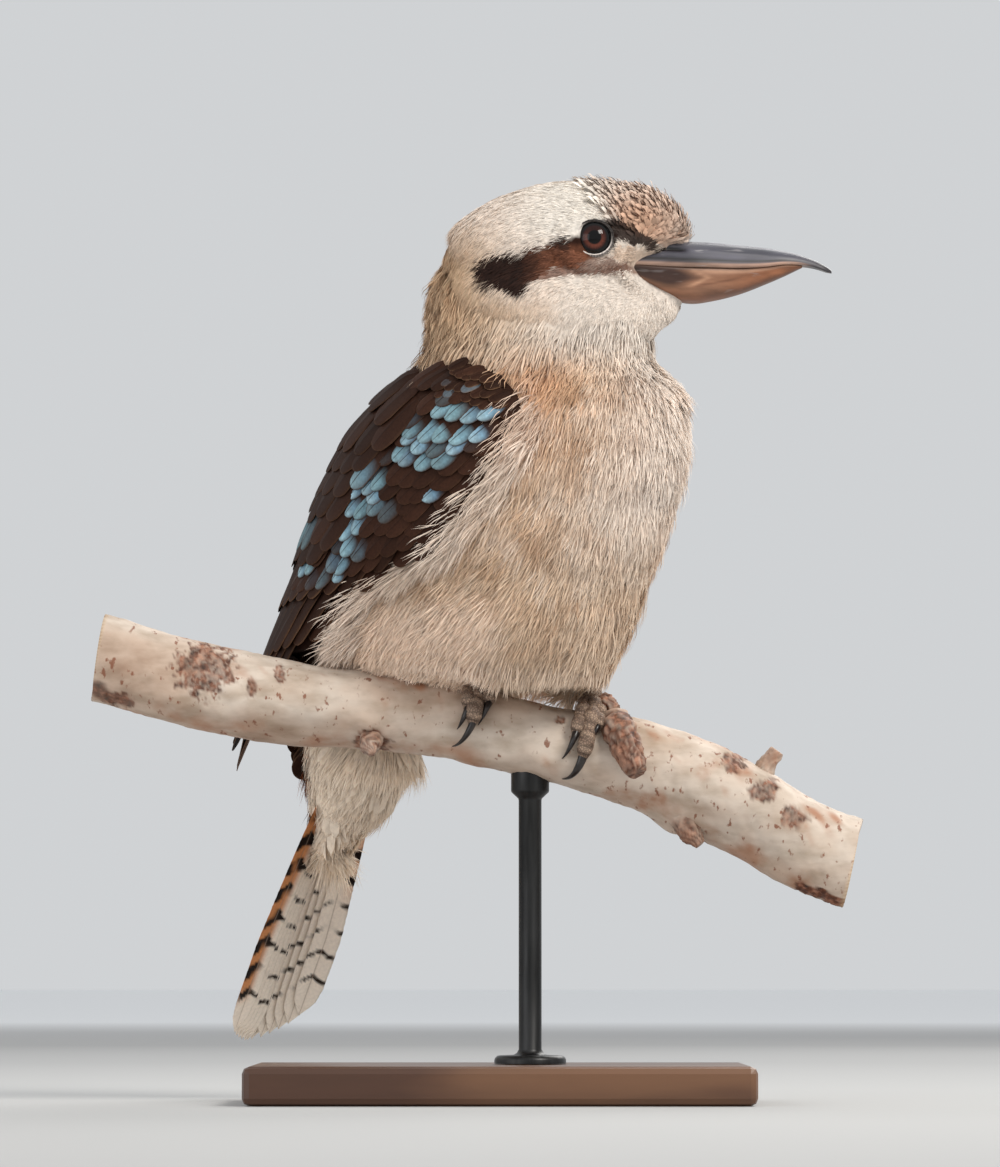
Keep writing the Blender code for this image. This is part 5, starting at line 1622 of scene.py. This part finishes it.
# Perch, feet and stand
def perch_frame(x):
    """The branch's middle, its upward direction square to its run, its run and its radius."""
    height, radius = PERCH.at(x)
    rise = float((PERCH.at(x + 0.002)[0] - PERCH.at(x - 0.002)[0]) / 0.004)
    run = np.array([1.0, 0.0, rise]) / math.hypot(1.0, rise)
    up = np.array([-run[2], 0.0, run[0]])
    return np.array([x, 0.0, float(height)]), up, run, float(radius)


def perch_point(x, turn, out):
    """Points a height above the bark, turned by degrees from the branch's upper line."""
    middle, up, _, radius = perch_frame(x)
    a = np.radians(np.atleast_1d(turn))[:, None]
    toward = up * np.cos(a) + np.array([0.0, -1.0, 0.0]) * np.sin(a)
    return middle + toward * (radius + np.atleast_1d(out)[:, None])


# Swellings of the branch: place along it, side in degrees, reach and height
LUMPS = [
    (-0.123, 62, 0.010, 0.0016),
    (-0.054, 118, 0.006, 0.0020),
    (0.047, 35, 0.012, 0.0030),
    (0.079, 172, 0.009, 0.0030),
    (0.111, 60, 0.008, 0.0018),
    (0.122, 75, 0.008, 0.0016),
]
LUMP_ARC = 0.017
# Dark scars on the bark, each in the photo's pixels: middle, half width and half height
SCARS = [
    (205, 670, 30, 27), (66, 668, 24, 14), (90, 618, 7, 5), (24, 640, 5, 5), (280, 672, 5, 9),
    (372, 742, 18, 12), (764, 790, 15, 13), (794, 818, 13, 11), (690, 846, 16, 10),
    (880, 846, 10, 8), (905, 932, 22, 12), (735, 760, 12, 12), (252, 690, 5, 12),
    (560, 720, 6, 4), (118, 700, 12, 8), (455, 660, 8, 4), (645, 700, 5, 4),
]


# Torn edges of the bark: stroke in the photo's pixels, raggedness, its seed, and strength
TORN_EDGES = [
    ([(800, 886, 5), (850, 908, 9), (900, 928, 10), (985, 948, 8)], 0.010, 7, 1.0),
    ([(0, 655, 6), (40, 664, 9), (100, 690, 8), (130, 706, 5)], 0.008, 8, 0.8),
]
# The broken stub and its fork, the thorn, the cut twig and the bud: path, radii and scarring
STUBS = [
    ([(0.0480, -0.004, 0.1580), (0.0495, -0.0150, 0.1550), (0.0525, -0.0230, 0.1475),
      (0.0565, -0.0290, 0.1370)], [0.0074, 0.0070, 0.0064, 0.0044], 1.0),
    ([(0.0400, 0.002, 0.1560), (0.0440, -0.002, 0.1665), (0.0480, -0.006, 0.1640)],
     [0.0065, 0.0048, 0.0030], 1.0),
    ([(-0.0535, -0.010, 0.1520), (-0.0545, -0.0180, 0.1475), (-0.0530, -0.0215, 0.1450)],
     [0.0050, 0.0036, 0.0014], 0.8),
    ([(0.1080, 0.000, 0.1300), (0.1110, -0.002, 0.1400), (0.1160, -0.003, 0.1470)],
     [0.0060, 0.0042, 0.0030], 0.4),
    ([(0.0760, -0.006, 0.1200), (0.0800, -0.009, 0.1115), (0.0835, -0.010, 0.1075)],
     [0.0065, 0.0046, 0.0022], 0.8),
]
PERCH_RINGS, PERCH_SIDES = 360, 96
STUB_RINGS, STUB_SIDES = 34, 36
CUT_GRAIN = 0.6
FRONT_HALF = 0.004
TORN_HALF = 0.008


def stub(path, radii, dark):
    """One stub's points, faces and marks, with its twisted bark."""
    path = np.array(path)
    spaced = np.linspace(0, len(path) - 1, STUB_RINGS)
    line = np.stack([np.interp(spaced, range(len(path)), axis) for axis in path.T], axis=1)
    for _ in range(6):
        line[1:-1] = (line[:-2] + 2 * line[1:-1] + line[2:]) / 4
    widths = np.interp(spaced, range(len(path)), radii)
    points, faces = loft(tube_rings(line, widths, STUB_SIDES))
    core = np.concatenate([np.repeat(line, STUB_SIDES, axis=0), line[:1], line[-1:]])
    share = np.append(np.repeat(np.linspace(0, 1, STUB_RINGS), STUB_SIDES), [0, 1.0])
    around = np.append(np.tile(circle(STUB_SIDES), STUB_RINGS), [0, 0])
    twist = around + 0.6 * np.sin(5 * share + around) + 0.25 * waves(points, 0.010, 15)
    ridge = np.sin(7 * twist) * 0.6 + np.sin(12 * twist + 4 * share) * 0.4
    bark = ridge * 0.07 + waves(points, 0.006, 13) * 0.06 + waves(points, 0.0025, 14) * 0.04
    bark = bark * (0.5 + 0.8 * dark * ease(0.1, 0.5, share))
    points = core + (points - core) * (1 + bark)[:, None]
    scarred = ease(0.0, 0.25, share) * dark * np.clip(0.80 - 0.40 * ridge, 0.35, 1.0)
    return points, faces, np.stack([scarred, 0.8 + 0 * share, 0 * share], axis=1)


def scars_of(shell):
    """How far the bark is scarred at each point, from the photo's scars and torn edges."""
    u, v = pixel_of(shell)
    scar = np.zeros(len(shell))
    for x, y, wide, high in SCARS:
        ragged = waves(shell, 0.007, int(x)) * 0.22 + waves(shell, 0.0028, int(y)) * 0.16
        gap = np.hypot((u - x) / wide, (v - y) / high) + ragged
        ring = 0.50 + 0.50 * np.exp(-(((gap - 0.78) / 0.22) ** 2)) + 0.45 * ease(0.40, 0.15, gap)
        shown = ease(1.1, 0.75, gap) * (shell[:, 1] < FRONT_HALF)
        scar = np.maximum(scar, shown * np.clip(ring, 0, 1))
    for path, size, seed, strength in TORN_EDGES:
        torn = near_path(u, v, path) + waves(shell, size, seed) * 0.3
        shown = ease(0.0, 0.35, torn) * (shell[:, 1] < TORN_HALF)
        scar = np.maximum(scar, shown * strength)
    return scar


def make_perch():
    xs = np.linspace(PERCH_ROWS[0][0], PERCH_ROWS[-1][0], PERCH_RINGS)
    turns = np.linspace(0, 360, PERCH_SIDES, endpoint=False)
    rings = []
    for x in xs:
        out = 0.0006 * np.sin(3.1 * np.radians(turns) + 40 * x)
        out = out + 0.0005 * np.sin(2 * np.radians(turns) - 71 * x)
        for place, side, reach, height in LUMPS:
            around = np.radians((turns - side + 180) % 360 - 180) * LUMP_ARC
            out = out + height * np.exp(-((x - place) ** 2 + around**2) / reach**2)
        rings.append(perch_point(x, turns, out))
    points, faces = loft(rings)
    count = PERCH_RINGS * PERCH_SIDES
    shell = points[:count]
    middle = np.array([perch_frame(x)[0] for x in xs]).repeat(PERCH_SIDES, axis=0)
    outward = unit(shell - middle)
    scar = scars_of(shell)
    rough = waves(shell, 0.0030, 3) * scar * 0.0005 - scar * 0.0004
    fine = waves(shell, 0.012, 4) * 0.00022 + waves(shell, 0.0045, 5) * 0.00010
    shell += outward * (rough + fine)[:, None]
    rust_cover = ease(0.15, 1.1, waves(shell, 0.030, 9) * 0.6 + waves(shell, 0.011, 10) * 0.5)
    # More rust colour towards the branch's underside
    below = ease(105, 150, np.abs((turns + 180) % 360 - 180)) * 0.75
    rust_cover = np.maximum(rust_cover, np.tile(below, PERCH_RINGS))
    ends = [[0, 0, 1.0]] * 2
    marks = np.concatenate([np.stack([scar, rust_cover, 0 * scar], axis=1), ends])
    marks[:PERCH_SIDES, 2] = CUT_GRAIN
    marks[count - PERCH_SIDES : count, 2] = CUT_GRAIN
    parts, flat = [(points, faces)], [marks]
    for path, radii, dark in STUBS:
        twig, turned, marked = stub(path, radii, dark)
        parts.append((twig, turned))
        flat.append(marked)
    branch = new_mesh("branch_bark", *merged(parts))
    put_colours(branch.data, "marks", np.concatenate(flat))
    made, nodes, links, shader = new_material("bark", 0.62, 0.35)
    found = attribute_node(nodes, "marks")
    split = nodes.new("ShaderNodeSeparateColor")
    links.new(found, split.inputs["Color"])
    broad = noise_node(nodes, links, 28.0, 5.0, (0.5, 1.0, 1.0))
    bark = ramp_node(nodes, links, broad, [
        (0.28, colour(0.70, 0.60, 0.51)), (0.44, colour(0.845, 0.785, 0.725)),
        (0.58, colour(0.79, 0.70, 0.625)), (0.72, colour(0.64, 0.51, 0.42))])
    rust_noise = noise_node(nodes, links, 55.0, 9.0)
    rust = ramp_node(nodes, links, rust_noise, [(0.47, 0.0), (0.64, 0.75)])
    rust_share = mix_node(nodes, links, "MULTIPLY", 1.0, rust, split.outputs["Green"])
    streaks = noise_node(nodes, links, 150.0, 6.0, (0.45, 1.0, 1.0))
    tones = ramp_node(nodes, links, streaks,
                      [(0.32, (0.76, 0.73, 0.69)), (0.55, 1.0), (0.72, 1.08)])
    weathered = mix_node(nodes, links, "MULTIPLY", 1.0, bark, tones)
    with_rust = mix_node(nodes, links, "MIX", rust_share, weathered, colour(0.66, 0.42, 0.27))
    specks = noise_node(nodes, links, 330.0, 3.0, (1.0, 0.6, 0.7))
    dots = ramp_node(nodes, links, specks, [(0.625, 0.0), (0.69, 0.85)])
    with_dots = mix_node(nodes, links, "MIX", dots, with_rust, colour(0.52, 0.31, 0.21))
    scar_noise = noise_node(nodes, links, 300.0, 6.0)
    wood = ramp_node(nodes, links, scar_noise, [
        (0.30, colour(0.20, 0.12, 0.09)), (0.50, colour(0.42, 0.26, 0.19)),
        (0.70, colour(0.68, 0.48, 0.38))])
    with_scars = mix_node(nodes, links, "MIX", split.outputs["Red"], with_dots, wood)
    rings_wave = nodes.new("ShaderNodeTexWave")
    rings_wave.wave_type = "RINGS"
    rings_wave.rings_direction = "X"
    rings_wave.inputs["Scale"].default_value = 260.0
    rings_wave.inputs["Distortion"].default_value = 3.0
    coords = nodes.new("ShaderNodeTexCoord")
    shift = nodes.new("ShaderNodeMapping")
    shift.inputs["Location"].default_value = (0.0, 0.0, -0.143)
    links.new(coords.outputs["Object"], shift.inputs["Vector"])
    links.new(shift.outputs["Vector"], rings_wave.inputs["Vector"])
    heart = ramp_node(nodes, links, rings_wave.outputs["Fac"],
                      [(0.2, colour(0.80, 0.66, 0.50)), (0.8, colour(0.90, 0.79, 0.64))])
    links.new(mix_node(nodes, links, "MIX", split.outputs["Blue"], with_scars, heart),
              shader.inputs["Base Color"])
    bump_node(nodes, links, shader, rust_noise, 0.35, 0.0008)
    dress(branch, made, "perch_branch", slot="bark")


make_perch()

# Each foot: its place along the branch, then each toe: start and end along the branch, turn
# round it at both ends and radius, with its claw's arc in degrees and swing along the branch
FEET = {
    "right": (-0.0168, [
        ("inner", (-0.0140, -0.0078, -5, 62, 0.0029), 34, -0.0012),
        ("middle", (-0.0168, -0.0112, -5, 92, 0.0034), 46, -0.0055),
        ("outer", (-0.0200, -0.0148, -5, 76, 0.0029), 34, -0.0018),
        ("hind", (-0.0168, -0.0150, -8, -78, 0.0028), 42, 0.0010),
    ]),
    "left": (0.0348, [
        ("inner", (0.0368, 0.0380, -5, 58, 0.0028), 24, -0.0022),
        ("middle", (0.0348, 0.0350, -5, 98, 0.0033), 46, -0.0060),
        ("outer", (0.0312, 0.0300, -5, 72, 0.0029), 40, -0.0030),
        ("hind", (0.0348, 0.0360, -8, -78, 0.0028), 42, 0.0010),
    ]),
}
CLAW_RADIUS = 0.0021
CLAW_TIP = 0.0004


def scaly_material():
    made, nodes, links, shader = new_material("foot_scales", 0.62, 0.35)
    cells = nodes.new("ShaderNodeTexVoronoi")
    cells.feature = "DISTANCE_TO_EDGE"
    cells.inputs["Scale"].default_value = 950.0
    place = nodes.new("ShaderNodeTexCoord")
    links.new(place.outputs["Object"], cells.inputs["Vector"])
    tint = attribute_node(nodes, "tint")
    edges = ramp_node(nodes, links, cells.outputs["Distance"], [(0.0, 0.45), (0.22, 1.12)])
    links.new(mix_node(nodes, links, "MULTIPLY", 1.0, tint, edges),
              shader.inputs["Base Color"])
    bump_node(nodes, links, shader, edges, 0.7, 0.00035)
    return made


TOE_RINGS, TOE_SIDES = 60, 24
TOE_SCUTES = 15
PALM = (0.0064, 0.0070, 0.0038)
PALM_RISE = 0.0036
PALM_TINT = colour(0.56, 0.47, 0.40)
SHANK_RUN = (-0.0015, 0.0045, 0.0120)
TOE_LIGHT, TOE_DARK = colour(0.68, 0.58, 0.50), colour(0.50, 0.41, 0.35)


def toe_of(start, end, turn_start, turn_end, radius):
    """One toe's rings and the tint of each: three swollen joints, a row of scutes, and painted
    shade on its underside.
    """
    t = np.linspace(0, 1, TOE_RINGS)
    path = []
    for s in t:
        out = GAP + radius + 0.0012 * math.sin(3 * math.pi * s) ** 2 - 0.0004
        turn = turn_start + (turn_end - turn_start) * s
        path.append(perch_point(start + (end - start) * s, turn, out)[0])
    scute = np.abs(((t * TOE_SCUTES) % 1.0) - 0.5) * 2
    radii = radius * (1.0 + 0.12 * np.sin(3 * math.pi * t) ** 2)
    radii = radii * np.interp(t, [0, 0.92, 1], [1, 0.92, 0.6])
    rings = tube_rings(path, radii, TOE_SIDES)
    bumps = 1 + 0.07 * (1 - scute**3)
    shades = []
    for i, ring in enumerate(rings):
        middle = np.asarray(path[i])
        away = unit(middle - perch_frame(middle[0])[0])
        top = np.clip(((ring - middle) @ away) / radii[i], -1, 1)
        swell = 1 + (bumps[i] - 1) * ease(-0.1, 0.6, top) + 0.05 * ease(-0.2, -0.8, top)
        rings[i] = middle + (ring - middle) * swell[:, None]
        groove = 0.55 + 0.45 * (1 - ease(0.75, 1.0, scute[i]))
        shade = blend(TOE_LIGHT, TOE_DARK,
                      0.5 + 0.5 * np.sin(i * 0.9 + np.arange(TOE_SIDES) * 0.26))
        # Painted shade: darker on the underside towards the branch; the grooves between scutes show
        # on the lit top
        lit = ease(-0.3, 0.4, top)
        shades.append(shade * (groove * lit + 0.8 * (1 - lit))[:, None])
    return rings, shades


def claw_of(end, turn_end, radius, reach, swing):
    """One claw's path and radii, curved down from its toe's end on to the bark."""
    way = 1 if turn_end > 0 else -1
    path, radii = [], []
    for s in np.linspace(0, 1, 30):
        turn = turn_end + way * (reach * s - 5)
        out = GAP + CLAW_RADIUS + (radius - CLAW_RADIUS) * (1 - s)
        out += 0.0022 * math.sin(math.pi * s) - (CLAW_RADIUS - CLAW_TIP) * s * 0.8
        path.append(perch_point(end + swing * s * s, turn, out)[0])
        radii.append(CLAW_RADIUS + (CLAW_TIP * 0.6 - CLAW_RADIUS) * s**1.3)
    return path, radii


def make_feet():
    scales = scaly_material()
    horn, nodes, links, shader = new_material("claw_horn", 0.28, 0.5)
    grain = noise_node(nodes, links, 500.0, 4.0)
    tone = ramp_node(nodes, links, grain, [
        (0.3, colour(0.07, 0.06, 0.06)), (0.7, colour(0.20, 0.17, 0.16))])
    links.new(tone, shader.inputs["Base Color"])
    bump_node(nodes, links, shader, grain, 0.2, 0.0002)
    turns = circle(30)
    for side, (x, toes) in FEET.items():
        parts, tints = [], []
        for _, toe, _, _ in toes:
            rings, shades = toe_of(*toe)
            parts.append(loft(rings))
            tints += [*shades, shades[0][:1], shades[-1][:1]]
        middle, up, _, radius = perch_frame(x)
        ball = middle + up * (radius + GAP + PALM_RISE)
        palm = []
        for a in np.linspace(0.05, math.pi - 0.05, 16):
            rim = [PALM[0] * math.sin(a) * np.cos(turns), PALM[1] * math.sin(a) * np.sin(turns),
                   PALM[2] * math.cos(a) + 0 * turns]
            palm.append(ball + np.stack(rim, axis=1))
        top = ball + np.array(SHANK_RUN)
        shank = [ball + (top - ball) * s for s in np.linspace(0, 1, 14)]
        for rings in (palm, tube_rings(shank, np.linspace(0.0044, 0.0038, 14), 24)):
            parts.append(loft(rings))
            tints.append(np.tile(PALM_TINT, (len(parts[-1][0]), 1)))
        foot = new_mesh("toes_" + side, *merged(parts))
        put_colours(foot.data, "tint", np.concatenate(tints))
        dress(foot, scales, "foot_" + side, slot="foot_skin")
        for name, (_, end, _, turn_end, radius), reach, swing in toes:
            path, radii = claw_of(end, turn_end, radius, reach, swing)
            claw = new_mesh(f"talon_{side}_{name}", *loft(tube_rings(path, radii, 18, 0.8)))
            dress(claw, horn, f"claw_{side}_{name}", slot="claw")


make_feet()

# The rod's place along the base, and its flange and collar: radius and height, the flange's
# heights from the top of the base
ROD_PLACE = 0.0126
ROD_SIDES = 64
BASE_TOP = 0.016
FLANGE = [(0.0150, 0.0), (0.0150, 0.0016), (0.0147, 0.0024), (0.0138, 0.0033),
          (0.0128, 0.0035), (0.0070, 0.0037), (0.0056, 0.0045), (0.0048, 0.0060)]
COLLAR = [(0.0048, 0.1262), (0.0050, 0.1270), (0.0078, 0.1296), (0.0080, 0.1304),
          (0.0080, 0.1400)]


def make_stand():
    wood, nodes, links, shader = new_material("base_walnut", 0.40, 0.5)
    grain = noise_node(nodes, links, 14.0, 8.0, (0.25, 3.2, 3.2))
    wave = nodes.new("ShaderNodeTexWave")
    wave.bands_direction = "Y"
    wave.inputs["Scale"].default_value = 9.0
    wave.inputs["Distortion"].default_value = 11.0
    wave.inputs["Detail"].default_value = 4.0
    wave.inputs["Detail Scale"].default_value = 1.4
    place = nodes.new("ShaderNodeTexCoord")
    stretch = nodes.new("ShaderNodeMapping")
    stretch.inputs["Scale"].default_value = (0.22, 1.0, 1.0)
    links.new(place.outputs["Object"], stretch.inputs["Vector"])
    links.new(stretch.outputs["Vector"], wave.inputs["Vector"])
    tone = ramp_node(nodes, links, wave.outputs["Fac"], [
        (0.1, colour(0.31, 0.20, 0.14)), (0.6, colour(0.37, 0.25, 0.175)),
        (0.95, colour(0.43, 0.30, 0.21))])
    fine = ramp_node(nodes, links, grain, [(0.35, 0.70), (0.65, 1.15)])
    links.new(mix_node(nodes, links, "MULTIPLY", 1.0, tone, fine),
              shader.inputs["Base Color"])
    bump_node(nodes, links, shader, grain, 0.12, 0.0004)
    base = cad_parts["stand_base"].data
    base.materials.clear()
    base.materials.append(wood)

    metal, nodes, links, shader = new_material("rod_black", 0.38, 0.5)
    shader.inputs["Metallic"].default_value = 0.9
    grain = noise_node(nodes, links, 240.0, 3.0, (1.0, 1.0, 0.1))
    tone = ramp_node(nodes, links, grain, [(0.3, 0.020), (0.7, 0.050)])
    links.new(tone, shader.inputs["Base Color"])
    bump_node(nodes, links, shader, grain, 0.1, 0.0002)
    foot = BASE_TOP + GAP
    turns = circle(ROD_SIDES)
    rings = []
    for r, z in [(r, foot + z) for r, z in FLANGE] + COLLAR:
        rings.append(np.stack([ROD_PLACE + r * np.cos(turns), r * np.sin(turns),
                               np.full(ROD_SIDES, z)], axis=1))
    rod = new_mesh("rod_turned", *loft(rings))
    rod.data.set_sharp_from_angle(angle=math.radians(35))
    dress(rod, metal, "stand_rod", slot="rod_metal")


make_stand()


# Camera, lights and floor
LAMP_AIM = (0.0, 0.0, 0.24)
# Each lamp: name, place, size, power and colour
LAMPS = [
    ("key", (1.5, -1.6, 2.0), 1.0, 52.0, (1.0, 0.96, 0.90)),
    ("fill", (-1.9, -1.7, 0.6), 1.8, 14.0, (0.98, 0.98, 1.0)),
    ("rim", (0.9, 1.7, 1.5), 1.2, 22.0, (1.0, 0.98, 0.94)),
    ("left_rim", (-1.6, 1.4, 1.2), 1.2, 6.0, (1.0, 1.0, 1.0)),
]
SKY_LIGHT = (0.84, 0.86, 0.88, 1.0)
FLOOR_HALF = 40.0
FLOOR_DROP = 0.0002


def make_studio():
    camera = bpy.data.cameras.new("camera")
    camera.lens = CAMERA_LENS
    camera.sensor_width = 36.0
    camera.clip_end = 60.0
    holder = bpy.data.objects.new("camera", camera)
    holder.location = CAMERA_PLACE
    holder.rotation_euler = (CAMERA_TILT, 0.0, 0.0)
    bpy.context.scene.collection.objects.link(holder)
    bpy.context.scene.camera = holder
    for name, place, size, power, tint in LAMPS:
        light = bpy.data.lights.new(name, "AREA")
        light.size = size
        light.energy = power
        light.color = tint
        lamp = bpy.data.objects.new(name, light)
        lamp.location = place
        aim = Vector(LAMP_AIM) - lamp.location
        lamp.rotation_euler = aim.to_track_quat("-Z", "Y").to_euler()
        bpy.context.scene.collection.objects.link(lamp)
    world = bpy.data.worlds.new("studio")
    world.use_nodes = True
    sky = world.node_tree.nodes["Background"]
    sky.inputs["Color"].default_value = SKY_LIGHT
    sky.inputs["Strength"].default_value = 0.75
    bpy.context.scene.world = world
    bpy.context.scene.view_settings.view_transform = "Standard"
    half = FLOOR_HALF
    corners = [(-half, -half, 0), (half, -half, 0), (half, half, 0), (-half, half, 0)]
    floor = new_mesh("floor", corners, [(0, 1, 2, 3)], smooth=False)
    floor.location.z = -FLOOR_DROP
    made, nodes, links, shader = new_material("floor", 0.9, 0.2)
    # Painted light on the floor: lighter under the bird, darker around it, and lighter again far
    # off
    place = nodes.new("ShaderNodeTexCoord")
    near = nodes.new("ShaderNodeMapping")
    near.inputs["Scale"].default_value = (0.2, 0.2, 0.2)
    links.new(place.outputs["Object"], near.inputs["Vector"])
    painted_floor_light = nodes.new("ShaderNodeTexGradient")
    painted_floor_light.gradient_type = "SPHERICAL"
    links.new(near.outputs["Vector"], painted_floor_light.inputs["Vector"])
    tone = ramp_node(nodes, links, painted_floor_light.outputs["Fac"], [
        (0.0, (0.93, 0.94, 0.95)), (0.30, 0.55), (0.55, 0.37), (0.75, 0.40),
        (0.93, (0.52, 0.52, 0.515))])
    links.new(tone, shader.inputs["Base Color"])
    floor.data.materials.append(made)


make_studio()
